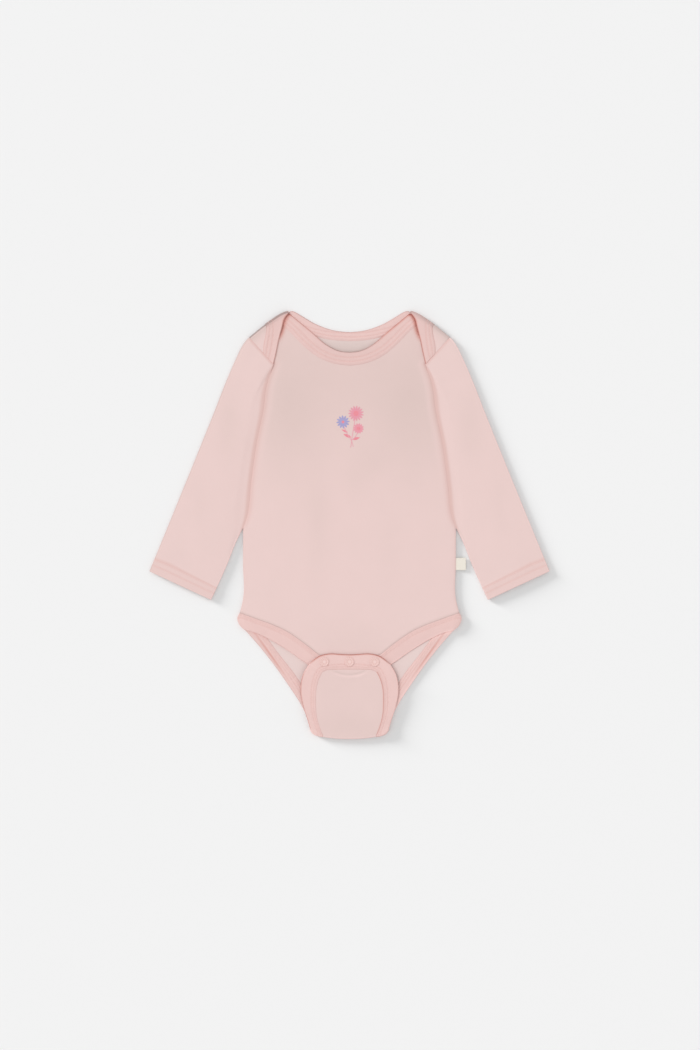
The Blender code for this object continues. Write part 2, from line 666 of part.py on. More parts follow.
def main():
    """Clear the scene and build the garment."""
    for item in list(bpy.data.objects):
        bpy.data.objects.remove(item, do_unlink=True)
    back_body()
    front_body()
    front_neck_binding()
    back_neck_binding()
    front_leg_binding()
    seat_binding()
    sleeves()
    snaps()
    side_label()


main()
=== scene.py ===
# %% [markdown]
# # A baby's bodysuit, lying flat
# We dress a plain model of a long-sleeved baby bodysuit. The plain model gives every piece its size
# and place; this script gives each piece its cloth: knit, rib, stitching, soft creases and a print.
# The garment lies on its back with the collar towards +Y, and everything is worked out in
# millimetres and written to the meshes in metres.

# %% Load the fixed model
import math

import bmesh
import bpy
import numpy as np
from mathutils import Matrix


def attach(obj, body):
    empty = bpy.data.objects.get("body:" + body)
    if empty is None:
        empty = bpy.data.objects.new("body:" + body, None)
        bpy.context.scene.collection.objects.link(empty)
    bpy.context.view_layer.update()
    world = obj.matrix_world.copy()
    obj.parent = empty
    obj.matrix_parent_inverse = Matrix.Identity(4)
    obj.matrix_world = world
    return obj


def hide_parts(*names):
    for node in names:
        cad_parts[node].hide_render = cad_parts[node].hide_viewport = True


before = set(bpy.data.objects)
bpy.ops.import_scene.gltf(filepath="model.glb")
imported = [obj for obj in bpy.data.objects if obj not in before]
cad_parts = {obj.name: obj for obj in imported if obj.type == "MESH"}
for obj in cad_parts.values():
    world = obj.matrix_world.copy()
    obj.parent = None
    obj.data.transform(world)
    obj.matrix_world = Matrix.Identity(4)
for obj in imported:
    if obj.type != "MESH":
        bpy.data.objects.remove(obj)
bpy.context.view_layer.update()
MM = 0.001

# %% [markdown]
# ## Looking straight down
# A flat lay is taken from above with a long lens, so that nothing leans. A camera with no rotation
# already looks down. The long side of the picture spans 1.05 m, so the height above the cloth
# follows from the lens and Blender's 36 mm sensor.

# %% Camera
PICTURE_HEIGHT = 1.05
CLOTH_LEVEL = 0.003
PICTURE_MIDDLE = (0.0005, -0.0005)      # half a millimetre from the middle of the garment
camera_data = bpy.data.cameras.new("camera")
camera_data.lens = 85
camera_height = PICTURE_HEIGHT * camera_data.lens / camera_data.sensor_width + CLOTH_LEVEL
camera = bpy.data.objects.new("camera", camera_data)
camera.location = (*PICTURE_MIDDLE, camera_height)
bpy.context.scene.collection.objects.link(camera)
bpy.context.scene.camera = camera
print("camera height, m:", round(camera_height, 3))

# %% [markdown]
# ## Soft daylight from the upper left
# Most of the light is an even pale sky, which keeps the cloth bright and its shadows open. A soft sun
# from the upper left draws the seams and furrows. The garment is only a few millimetres thick, so its
# long soft shadow on the floor asks for a very low sun, and such a sun would rake across the cloth and
# make hills of its folds. Blender's light linking solves this: one sun lights the cloth alone, from
# higher up, and a low one lights the floor alone, on which the garment still casts its shadow. The
# Standard view keeps the pinks as they are mixed.

# %% Sky, suns and floor
SKY_STRENGTH = 0.785
SUN_LIGHT = 0.25        # what each sun adds to a level surface, beside the sky
SUN_AZIMUTH = 150
FLOOR_GREY = 0.86
FLOOR_SIZE, FLOOR_DROP = 8, 0.00006

bpy.context.scene.view_settings.view_transform = "Standard"
world = bpy.data.worlds.new("pale_sky")
world.use_nodes = True
world.node_tree.nodes["Background"].inputs["Color"].default_value = (1, 1, 1, 1)
world.node_tree.nodes["Background"].inputs["Strength"].default_value = SKY_STRENGTH
bpy.context.scene.world = world


def principled(name, colour, roughness):
    """A new material with a Principled shader."""
    material = bpy.data.materials.new(name)
    material.use_nodes = True
    shader = material.node_tree.nodes["Principled BSDF"]
    shader.inputs["Base Color"].default_value = (*colour, 1)
    shader.inputs["Roughness"].default_value = roughness
    return material


bpy.ops.mesh.primitive_plane_add(size=FLOOR_SIZE, location=(0, 0, -FLOOR_DROP))
floor = bpy.context.object
floor.name = "floor"
floor.data.materials.append(principled("pale_floor", (FLOOR_GREY,) * 3, 0.9))


def sunlight(name, elevation, width, floor_part):
    """A sun with its height and width in degrees; floor_part includes only the floor, or excludes it."""
    data = bpy.data.lights.new(name, "SUN")
    data.energy = SUN_LIGHT * math.pi / math.sin(math.radians(elevation))
    data.angle = math.radians(width)
    lamp = bpy.data.objects.new(name, data)
    lamp.rotation_euler = (math.radians(90 - elevation), 0, math.radians(SUN_AZIMUTH + 90))
    receivers = bpy.data.collections.new(name + "_receivers")
    receivers.objects.link(floor)
    receivers.collection_objects[0].light_linking.link_state = floor_part
    lamp.light_linking.receiver_collection = receivers
    bpy.context.scene.collection.objects.link(lamp)
    print(name, "at", elevation, "degrees, strength", round(data.energy, 2))


sunlight("cloth_sun", 52, 34, "EXCLUDE")
sunlight("floor_sun", 11.5, 15, "INCLUDE")

# %% [markdown]
# ## Curves drawn through a few marks
# A pattern cutter draws an armhole through a handful of marks. We do the same: a smooth curve runs
# through a short table of marks, and is then stepped off evenly by length. Only the right half is
# drawn, because a baby's bodysuit is the same on both sides.

# %% Curve helpers


def smooth(knots, steps=24):
    """A dense, rounded line through the knots."""
    points = np.array(knots, dtype=float)
    gaps = np.linalg.norm(np.diff(points, axis=0), axis=1)[:, None]
    slopes = np.diff(points, axis=0) / gaps
    tangents = np.vstack((slopes[:1], slopes))
    if len(points) > 2:
        tangents[1:-1] = (slopes[:-1] * gaps[1:] + slopes[1:] * gaps[:-1]) / (gaps[:-1] + gaps[1:])
        tangents[0] = (3 * slopes[0] - tangents[1]) / 2
        tangents[-1] = (3 * slopes[-1] - tangents[-2]) / 2
    t = (np.arange(steps) / steps)[:, None]
    line = [(2 * t ** 3 - 3 * t ** 2 + 1) * start + (3 * t ** 2 - 2 * t ** 3) * end
            + (t ** 3 - 2 * t ** 2 + t) * gap * leave + (t ** 3 - t ** 2) * gap * arrive
            for start, end, gap, leave, arrive in zip(points, points[1:], gaps, tangents, tangents[1:])]
    return np.vstack(line + [points[-1:]])


def length_of(line):
    """Length of a line up to each of its points."""
    return np.concatenate(([0], np.cumsum(np.linalg.norm(np.diff(line, axis=0), axis=1))))


def along(knots, shares):
    """Points at the given shares of a curve's length."""
    line = smooth(knots)
    run = length_of(line)
    wanted = np.asarray(shares) * run[-1]
    return np.column_stack([np.interp(wanted, run, line[:, axis]) for axis in range(line.shape[1])])


def even(count):
    """Shares that cut a length into equal steps."""
    return np.linspace(0, 1, count + 1)


def reader(rows):
    """A function that reads a smooth value from rows of (key, value)."""
    line = smooth(rows)
    return lambda key: np.interp(key, line[:, 0], line[:, 1])


def mirrored(points):
    """The same points on the other side of the garment."""
    return np.asarray(points) * (-1, 1)


def both_halves(half):
    """A curve from the left end to the right end, from its half that starts at the middle."""
    return np.vstack((mirrored(half[:0:-1]), half))


def mix(start, end, share):
    """A value on the way from start to end."""
    return start + (end - start) * share


def towards(degrees):
    """Unit directions in the plane."""
    turn = np.radians(degrees)
    return np.stack((np.cos(turn), np.sin(turn)), axis=-1)


def ease(value):
    """0 to 1 with soft ends."""
    value = np.clip(value, 0, 1)
    return value * value * (3 - 2 * value)


def ramp(value, start, end):
    """0 up to start and 1 from end on, with soft ends; end may be the lower of the two."""
    return ease((value - start) / (end - start))


def bell(distance, width):
    """1 at no distance, fading to nothing over about two widths."""
    return np.exp(-(distance / width) ** 2)


def ripples(distance, rows):
    """Sum of soft ridges and troughs across a line: rows of (size, place, width)."""
    return sum(size * bell(distance - place, width) for size, place, width in rows)


def square_to(line):
    """Unit directions square to a line of points, on its left."""
    run = np.gradient(line, axis=0)
    run /= np.linalg.norm(run, axis=1)[:, None]
    return np.column_stack((-run[:, 1], run[:, 0]))


def gap_to(marks, plan, side=1):
    """Distance of every point of a plan from the curve through the marks, or from its mirror image."""
    return np.linalg.norm(plan[:, :, None] - smooth(marks) * (side, 1), axis=3).min(axis=2)


print("a quarter of the way along a test curve:", along([(0, 0), (10, 5), (20, 0)], [0.25]).round(1))

# %% [markdown]
# ## The garment's own lines
# These are the edges and seams of the cut, as marks (x, y) in millimetres from the middle of the
# garment. The shoulder fold is where the back's laps turn over to the front; the crotch fold is where
# the seat comes up again as the snapped flap.

# %% Marks of the cut
CLOTH = 0.9             # wall of the jersey
RIB = 1.6               # wall of a binding, which is folded cloth
UNDERARM = (106.4, -3.5)
HIP_SEAM = (109.7, -88.0)
HIP_TURN = (104.0, -106.2)
NECK_POINT = (60.3, 211.6)
SHOULDER_POINT = (99.2, 185.9)
LAP_TIP = (76.0, 160.3)
LAP_SEAM_SHARE = 0.556
NECK_FOLD_SHARE = 0.57
FRONT_NECK_FOLD_SHARE = 0.31
SEAM_FOLD_X, EDGE_FOLD_X = 26.5, 39.6

SHOULDER_FOLD = [NECK_POINT, (66.5, 209.3), (77.0, 202.8), SHOULDER_POINT]
FRONT_NECK_EDGE = [(0.0, 172.5), (11.0, 174.0), (20.5, 178.4), (40.0, 194.5)]
FRONT_NECK_SEAM = [(0.0, 158.9), (13.0, 160.4), (24.0, 163.8), (35.0, 169.7), (48.0, 180.7),
                   (60.0, 193.0)]
BACK_NECK_EDGE = [(0.0, 192.5), (14.4, 194.0), (33.5, 200.5), (48.3, 209.0), (54.0, 212.4),
                  (57.5, 213.6), (59.6, 213.2), NECK_POINT]
BACK_NECK_SEAM = [(0.0, 183.5), (20.0, 185.0), (40.0, 189.8), (60.0, 196.0)]
LAP_SEAM = [(83.2, 196.0), (86.0, 178.5)]
LAP_EDGE = [NECK_POINT, (64.9, 205.4), (66.8, 199.0), (70.7, 184.3), (72.9, 173.2), LAP_TIP]
ARMHOLE_FRONT = [LAP_TIP, (83.0, 138.5), (86.0, 116.0), (92.8, 82.5), (98.3, 43.5), (102.6, 8.0), UNDERARM]
ARMHOLE_BACK = [SHOULDER_POINT, (91.0, 162.0), (89.0, 135.0), (93.0, 85.0), (99.5, 30.0), UNDERARM]
SIDE_SEAM = [UNDERARM, (106.4, -40.0), (106.4, -74.0), HIP_SEAM]
HIP_END = [HIP_SEAM, (112.2, -94.0), (110.0, -100.5), HIP_TURN]
FRONT_LEG_SEAM = [(0.0, -133.6), (16.0, -133.0), (28.5, -130.8), (39.0, -123.0), (50.6, -114.3),
                  (62.5, -106.5), (76.0, -100.2), (91.5, -94.5), HIP_SEAM]
FRONT_LEG_EDGE = [(0.0, -149.2), (20.0, -148.4), (33.0, -145.2), (42.0, -139.9), (60.5, -127.0),
                  (81.0, -114.6), (95.9, -108.0), HIP_TURN]
SEAT_SEAM = [HIP_SEAM, (97.0, -96.5), (84.0, -111.5), (70.9, -129.1), (54.2, -150.5), (40.5, -172.5),
             (33.0, -189.0)]
SEAT_EDGE = [HIP_TURN, (91.5, -120.3), (75.5, -140.5), (61.5, -160.3), (48.8, -180.0), (43.6, -190.5),
             (40.8, -200.0)]
CROTCH_FOLD = [(0.0, -212.8), (14.0, -212.2), (26.5, -210.6), (33.0, -209.0), (37.2, -206.8),
               (EDGE_FOLD_X, -203.6)]
FLAP_SIDE_SEAM = [(29.5, -203.0), (32.5, -192.0), (33.5, -176.0), (32.8, -163.5), (30.0, -153.5),
                  (27.0, -147.7)]
FLAP_TOP_SEAM = [(27.0, -147.7), (23.4, -145.8), (14.0, -145.1), (0.0, -145.1)]
FLAP_SIDE_EDGE = [(41.2, -198.2), (47.4, -177.5), (49.0, -165.5), (46.0, -148.7), (40.4, -139.4)]
FLAP_TOP_EDGE = [(40.4, -139.4), (29.6, -131.2), (20.0, -129.0), (9.0, -129.5), (0.0, -129.9)]
SLEEVE_OUTER = [(101.0, 187.5), (107.4, 178.5), (113.3, 166.5), (118.7, 154.5), (136.6, 109.5),
                (200.2, -46.9)]
SLEEVE_INNER = [(107.2, -4.6), (113.0, -16.5), (122.0, -39.0), (138.5, -75.5)]
HEM_DEPTH = 13.5

# Bulge directions in degrees: by share of the shoulder fold's length, and by x along the crotch fold.
shoulder_degrees = reader([(0.0, 67), (0.5, 54), (0.8, 52), (1.0, 41)])
crotch_degrees = reader([(0.0, -90), (SEAM_FOLD_X, -81), (34.0, -84), (EDGE_FOLD_X, -104)])
crotch_line = reader(CROTCH_FOLD)


def shoulder_fold(shares, inset=0.0):
    """Points of the shoulder fold and the directions in which it bulges."""
    directions = towards(shoulder_degrees(shares))
    return along(SHOULDER_FOLD, shares) - directions * inset, directions


def crotch_fold(offsets):
    """Points of the crotch fold and the directions in which it bulges."""
    return np.column_stack((offsets, crotch_line(offsets))), towards(crotch_degrees(offsets))


FRONT_SHOULDER_INSET = 0.8
lap_seam_end = tuple(mix(np.array(SHOULDER_POINT), np.array(LAP_TIP), LAP_SEAM_SHARE))
front_neck_corner = tuple(shoulder_fold([FRONT_NECK_FOLD_SHARE], FRONT_SHOULDER_INSET)[0][0])
front_neck_tip = tuple(shoulder_fold([0.0], FRONT_SHOULDER_INSET)[0][0])
back_neck_corner = tuple(shoulder_fold([NECK_FOLD_SHARE])[0][0])
flap_seam_foot = tuple(crotch_fold([SEAM_FOLD_X])[0][0])
flap_edge_foot = tuple(crotch_fold([EDGE_FOLD_X])[0][0])
marked_length = max(y for _, y in BACK_NECK_EDGE) - CROTCH_FOLD[0][1]
print("chest, mm:", 2 * UNDERARM[0], " length without the crotch fold's bulge, mm:", round(marked_length, 1))

# %% [markdown]
# ## How high each layer lies
# The back lies on the floor. The front floats over it: sewn down at its sides and crowned in the
# middle. The laps lie on the front, and the crotch flap on the front's bound end. Creases are listed,
# a row each: where the crease is, how it runs, how long and wide it is, and how deep. Such a
# short table of soft ridges and troughs is easy to adjust, and it can't tear or cross itself as a
# cloth simulation of thin layers may.

# %% Heights of the front, the laps and the flap
front_side_line = np.vstack(([SHOULDER_POINT], smooth(ARMHOLE_FRONT), smooth(SIDE_SEAM)))
side_order = np.argsort(front_side_line[:, 1])
side_y, side_x = front_side_line[side_order, 1], front_side_line[side_order, 0]
# Rows of (y, height): at the side seam, and how much more in the middle.
seam_height = reader([(-150, 1.68), (-131, 1.68), (-110, 1.68), (-96, 1.66), (-72, 1.45), (-40, 1.3),
                      (0, 1.3), (60, 1.3), (120, 1.3), (160, 1.35), (187, 1.68), (214, 1.68)])
crown_height = reader([(-150, 0.4), (-131, 0.5), (-110, 0.8), (-90, 1.2), (-50, 1.9), (0, 2.1), (60, 2.0),
                       (120, 1.7), (160, 1.1), (187, 0.4), (214, 0.2)])
flap_height = reader([(-215, 3.0), (-205, 3.1), (-185, 3.4), (-165, 3.8), (-150, 4.1), (-136, 4.05),
                      (-128, 3.6)])
CROWN_POWER = 0.6
LAYER_SPACE = 0.2       # between layers that lie on each other
FLAP_SIDE_DROP = 0.8
BOUND_END_Y, BOUND_END_BOW = -149.8, 0.0138     # the front's bound end, bowed up towards its sides
END_RIDGES = [(0.25, -3.8, 2.2), (-0.50, -0.8, 1.3)]    # height, distance past that end, width

# Creases: x, y, direction in degrees, half length, half width, height (troughs are negative).
FRONT_CREASES = [(-60, 128, -76, 36, 10, -0.16), (62, 130, -104, 40, 11, -0.16), (12, 62, 48, 30, 9, -0.16),
                 (-34, 52, -64, 26, 11, 0.12), (40, 40, 62, 28, 12, 0.10), (-52, -22, 84, 36, 7, -0.14),
                 (-40, -20, 86, 32, 8, 0.10), (46, -34, -80, 30, 9, -0.10), (18, -78, 52, 24, 7, -0.10),
                 (-22, -96, -38, 20, 6, 0.08), (0, 148, 0, 30, 8, 0.10), (-84, -60, 80, 22, 6, 0.10),
                 (86, -58, -82, 24, 6, 0.10)]
FLAP_CREASES = [(-20, -196, 78, 12, 4, -0.14), (14, -204, 8, 16, 3.5, -0.12), (24, -186, 84, 14, 4, 0.10),
                (-6, -178, 20, 12, 6, 0.08)]
BACK_CREASES = [(-50, 60, -66, 46, 9, 0.30), (44, 96, 58, 40, 10, 0.26), (10, -40, 86, 50, 8, 0.24),
                (-62, -62, 74, 26, 7, 0.22), (70, -20, -78, 36, 8, 0.26), (0, 150, 4, 34, 8, 0.20),
                (6, -150, 88, 30, 6, 0.18)]


def creases(x, y, rows):
    """Sum of the soft ridges and troughs in a table, at points (x, y)."""
    total = np.zeros(np.broadcast(x, y).shape)
    for place_x, place_y, degrees, half_length, half_width, height in rows:
        run_x, run_y = towards(degrees)
        forward = (x - place_x) * run_x + (y - place_y) * run_y
        aside = (y - place_y) * run_x - (x - place_x) * run_y
        total = total + height * bell(forward, half_length) * bell(aside, half_width)
    return total


def front_reach(x, y):
    """0 on the middle of the front, 1 on its side edges."""
    return np.clip(np.abs(x) / np.interp(y, side_y, side_x), 0, 1)


def side_distance(x, y):
    """Distance from the front's side edges."""
    return (1 - front_reach(x, y)) * np.interp(y, side_y, side_x)


def front_rise(x, y):
    """Height of the front's underside."""
    reach = front_reach(x, y)
    crown = (1 - reach ** 2) ** CROWN_POWER
    return seam_height(y) + crown_height(y) * crown + creases(x, y, FRONT_CREASES) * (1 - reach ** 6)


def lap_rise(x, y):
    """Height of a lap's underside: over the front's binding at the top, and over plain jersey below."""
    return front_rise(x, y) + mix(RIB, CLOTH, ramp(y, 202, 190)) + LAYER_SPACE


def past_bound_end(x, y):
    """Distance past the bound end under the flap, and how much that end shows through."""
    return y - BOUND_END_Y - BOUND_END_BOW * np.asarray(x) ** 2, ramp(np.abs(x), 20, 12)


def flap_rise(x, y):
    """Height of the crotch flap's underside, with a curved trough where the bound end below it stops."""
    past_end, shown = past_bound_end(x, y)
    sides = FLAP_SIDE_DROP * ramp(np.abs(x), 28, 42) * ramp(y, -150, -165) * ramp(y, -212, -196)
    return flap_height(y) - sides + ripples(past_end, END_RIDGES) * shown + creases(x, y, FLAP_CREASES)


print("front over the floor at the middle and the side, mm:",
      round(float(front_rise(0, 0)), 1), round(float(front_rise(106.4, -20)), 1))

# %% [markdown]
# ## A sheet of cloth with two faces
# Cloth has a right side, a wrong side and a soft edge between them. One way is a Solidify modifier on
# a single surface, but then the folds and the underside are hard to hold exactly. Here each sheet is
# a grid of point pairs, outer and inner, so the wall is known everywhere. Grids that share an edge are
# welded, and the free edge is closed with a small round rim, as a pressed seam has. Every point also
# carries notes for its finish: its place in the knit in millimetres, so that the texture follows the
# cloth round a fold; its blush and tone, which paint shade and light along seams, folds and edges;
# and how the rim beside it is cut and rounded. A panel is tucked a little under its binding,
# so no crack shows between them.

# %% Grids of point pairs with notes
REACH, BLUSH, TONE, CUT, RIM = 1, 2, 3, 4, 5    # columns of a note, after the first of the knit place
SEAM_CUT, SEAM_TUCK, SEAM_ROUND = 0.0, -0.3, 0.22
# FOLD_BLUSH paints a pink shade on every fold; FOLD_SPREAD sets how far a fold's painted tone reaches.
FOLD_BLUSH, FOLD_SPREAD = 0.05, 0.35    # the less the spread, the wider a fold's tone


def grid_between(near, far, left, right, rows=None):
    """Points filling the space between four edges; rows run from near to far."""
    v = (np.linspace(0, 1, len(left)) if rows is None else rows)[:, None, None]
    u = np.linspace(0, 1, len(near))[None, :, None]
    across = mix(left[:, None, :], right[:, None, :], u)
    up = mix(near[None, :, :], far[None, :, :], v)
    corners = mix(mix(near[0], near[-1], u), mix(far[0], far[-1], u), v)
    return across + up - corners


def notes(plan, knit=None, blush=0.0, tone=0.0, cut=SEAM_CUT, rim=SEAM_ROUND):
    """Notes for a grid: knit place, blush, tone, rim cut and rim rounding."""
    shape = plan.shape[:2]
    return np.dstack((plan if knit is None else knit,
                      *[np.broadcast_to(value, shape) for value in (blush, tone, cut, rim)]))


def layer(plan, outer, inner, note):
    """A sheet over a plan, from the heights of its outer and inner face."""
    faces = [np.dstack((plan, np.broadcast_to(height, plan.shape[:2]))) for height in (outer, inner)]
    return (*faces, note)


def above(plan, rise, wall, note):
    """A sheet lying on others."""
    base = rise(plan[..., 0], plan[..., 1])
    return layer(plan, base + wall, base, note)


def folded(feet, directions, heights, walls, note, tone, runs=None, top_tone=0.0, steps=12):
    """A sheet turning over a fold, from the floor up to the layer on top, with painted tones there and on
    top: shade above 0, light below.
    """
    turn = np.linspace(0, math.pi, steps + 1)[:, None]
    radius = np.broadcast_to(heights, len(feet)) / 2
    small = radius - np.broadcast_to(walls, len(feet))
    faces = []
    for reach in (radius, small):
        out = feet[None] + directions[None] * (reach * np.sin(turn))[..., None]
        faces.append(np.dstack((out, radius - reach * np.cos(turn))))
    note = np.repeat(note[None], steps + 1, axis=0)
    if runs is None:
        note[..., :2] += directions[None] * (radius * turn)[..., None]
    else:
        note[..., 0] = mix(*runs, turn / math.pi)
    note[..., BLUSH] += np.sin(turn) * FOLD_BLUSH
    note[..., TONE] += mix((turn > math.pi / 2) * top_tone, tone, np.sin(turn) ** FOLD_SPREAD)
    return (*faces, note)


def other_side(sheet):
    """A sheet mirrored to the left half."""
    outer, inner, note = sheet
    return outer * (-1, 1, 1), inner * (-1, 1, 1), note * (-1, 1, 1, 1, 1, 1)


# %% Weld the grids and close the rim
RIM_STEPS = 5
WELD_STEPS = 100        # steps per millimetre: points that round to the same one are welded
CORNER_LIMIT = 0.4      # keeps the rim of a sharp corner from running far out


def weld(sheets):
    """Points, notes and faces of several grids that share edges."""
    outer, inner, note, faces, index_of = [], [], [], [], {}
    for grid_outer, grid_inner, grid_note in sheets:
        keys = np.round(np.dstack((grid_outer, grid_inner)) * WELD_STEPS).astype(int)
        numbers = np.empty(keys.shape[:2], dtype=int)
        for place in np.ndindex(*numbers.shape):
            key = keys[place].tobytes()
            if key not in index_of:
                index_of[key] = len(outer)
                outer.append(grid_outer[place])
                inner.append(grid_inner[place])
                note.append(grid_note[place])
            numbers[place] = index_of[key]
        for low, high in zip(numbers.tolist(), numbers[1:].tolist()):
            for corners in zip(low, low[1:], high[1:], high):
                face = list(dict.fromkeys(corners))
                if len(face) > 2:
                    faces.append(face)
    return np.array(outer), np.array(inner), np.array(note), faces


def free_edges(faces):
    """Edges that belong to one face only, each with that face."""
    owners = {}
    for face in faces:
        for edge in zip(face, face[1:] + face[:1]):
            owners.setdefault(frozenset(edge), []).append((edge, face))
    return [found[0] for found in owners.values() if len(found) == 1]


def inward_directions(outer, inner, faces):
    """For each point of the free edge, the direction that leads into the cloth."""
    sides = {}
    for (start, end), face in free_edges(faces):
        side = np.cross(outer[end] - outer[start], outer[start] - inner[start] + outer[end] - inner[end])
        side /= np.linalg.norm(side) + 1e-12
        if np.dot(side, outer[face].mean(axis=0) - outer[start]) < 0:
            side = -side
        sides.setdefault(start, []).append(side)
        sides.setdefault(end, []).append(side)
    return {corner: sum(pair) / max(1 + np.dot(pair[0], pair[-1]), CORNER_LIMIT)
            for corner, pair in sides.items()}


def turn_outwards(mesh):
    """Point every face of a closed mesh outwards."""
    solid = bmesh.new()
    solid.from_mesh(mesh)
    bmesh.ops.recalc_face_normals(solid, faces=solid.faces)
    solid.to_mesh(mesh)
    solid.free()


def new_piece(name, points, polygons, materials, knit, blush, tone=None, slots=None):
    """A smooth mesh object from points in millimetres, with its notes as attributes."""
    mesh = bpy.data.meshes.new(name)
    mesh.from_pydata((np.asarray(points) * MM).tolist(), [], polygons)
    places = np.column_stack((knit, blush)).astype(np.float32)
    mesh.attributes.new("knit", "FLOAT_VECTOR", "POINT").data.foreach_set("vector", places.ravel())
    if tone is not None:
        mesh.attributes.new("tone", "FLOAT", "POINT").data.foreach_set("value", tone.astype(np.float32))
    for material in materials:
        mesh.materials.append(material)
    if slots is not None:
        mesh.polygons.foreach_set("material_index", slots)
    turn_outwards(mesh)
    mesh.shade_smooth()
    piece = bpy.data.objects.new(name, mesh)
    bpy.context.scene.collection.objects.link(piece)
    print(name, "points", len(points), "faces", len(polygons))
    return piece


def cloth(name, sheets, materials, tone=lambda x, y: np.zeros(len(x))):
    """A thin shell of cloth: outer face, inner face and a round rim between them."""
    outer, inner, note, faces = weld(sheets)
    inward = inward_directions(outer, inner, faces)
    count, edges = len(outer), free_edges(faces)
    ring_of, rim, rim_note = {}, [], []
    for corner, side in inward.items():
        cut, bulge = note[corner, CUT:]
        half = (outer[corner] - inner[corner]) / 2
        middle = inner[corner] + half + side * cut
        turns = math.pi * np.arange(RIM_STEPS + 1) / RIM_STEPS
        ring = [middle + half * math.cos(turn) + side * bulge * (1 - math.sin(turn)) for turn in turns]
        outer[corner], inner[corner] = ring[0], ring[-1]
        first = 2 * count + len(rim)
        ring_of[corner] = [corner, *range(first, first + RIM_STEPS - 1), count + corner]
        rim += ring[1:-1]
        rim_note += [note[corner]] * (RIM_STEPS - 1)
    points, marks = np.vstack((outer, inner, rim)), np.vstack((note, note, rim_note))
    polygons = faces + [[count + corner for corner in reversed(face)] for face in faces]
    for (start, end), _ in edges:
        low, high = ring_of[end], ring_of[start]
        polygons += [[low[step], high[step], high[step + 1], low[step + 1]] for step in range(RIM_STEPS)]
    inside = len(materials) - 1
    slots = [0] * len(faces) + [inside] * len(faces) + [0] * (len(polygons) - 2 * len(faces))
    return new_piece(name, points, polygons, materials, marks[:, :BLUSH], marks[:, BLUSH],
                     marks[:, TONE] + tone(points[:, 0], points[:, 1]), slots)


# %% [markdown]
# ## Knit, rib and thread
# Single jersey shows tiny V stitches on its right side and rounder, greyer bumps on its wrong side.
# Both are made from the cloth's own millimetres: columns 0.8 mm wide, rows 0.6 mm high. A picture of
# knit would repeat and has no depth, while a formula can be as fine as the eye looks. Broad soft noise
# keeps a large panel from looking like plastic. Two notes steer the colour, and both paint light and
# shade. Tone darkens the cloth up to 1, mostly as painted shade on broad patches and along seams and
# edges, and on to 2 as the painted shade of a sharp fold; below 0 it paints light and makes the cloth
# paler. Blush paints a pink shade along seams and folds up to 1, and deepens it to the painted shadow
# of a seam at 2. Edges that face the sun get a deeper painted shade and edges in shade a paler painted
# light, since such small forms need help to show. Sheen stands for the fuzz of washed cotton.

# %% Node helpers


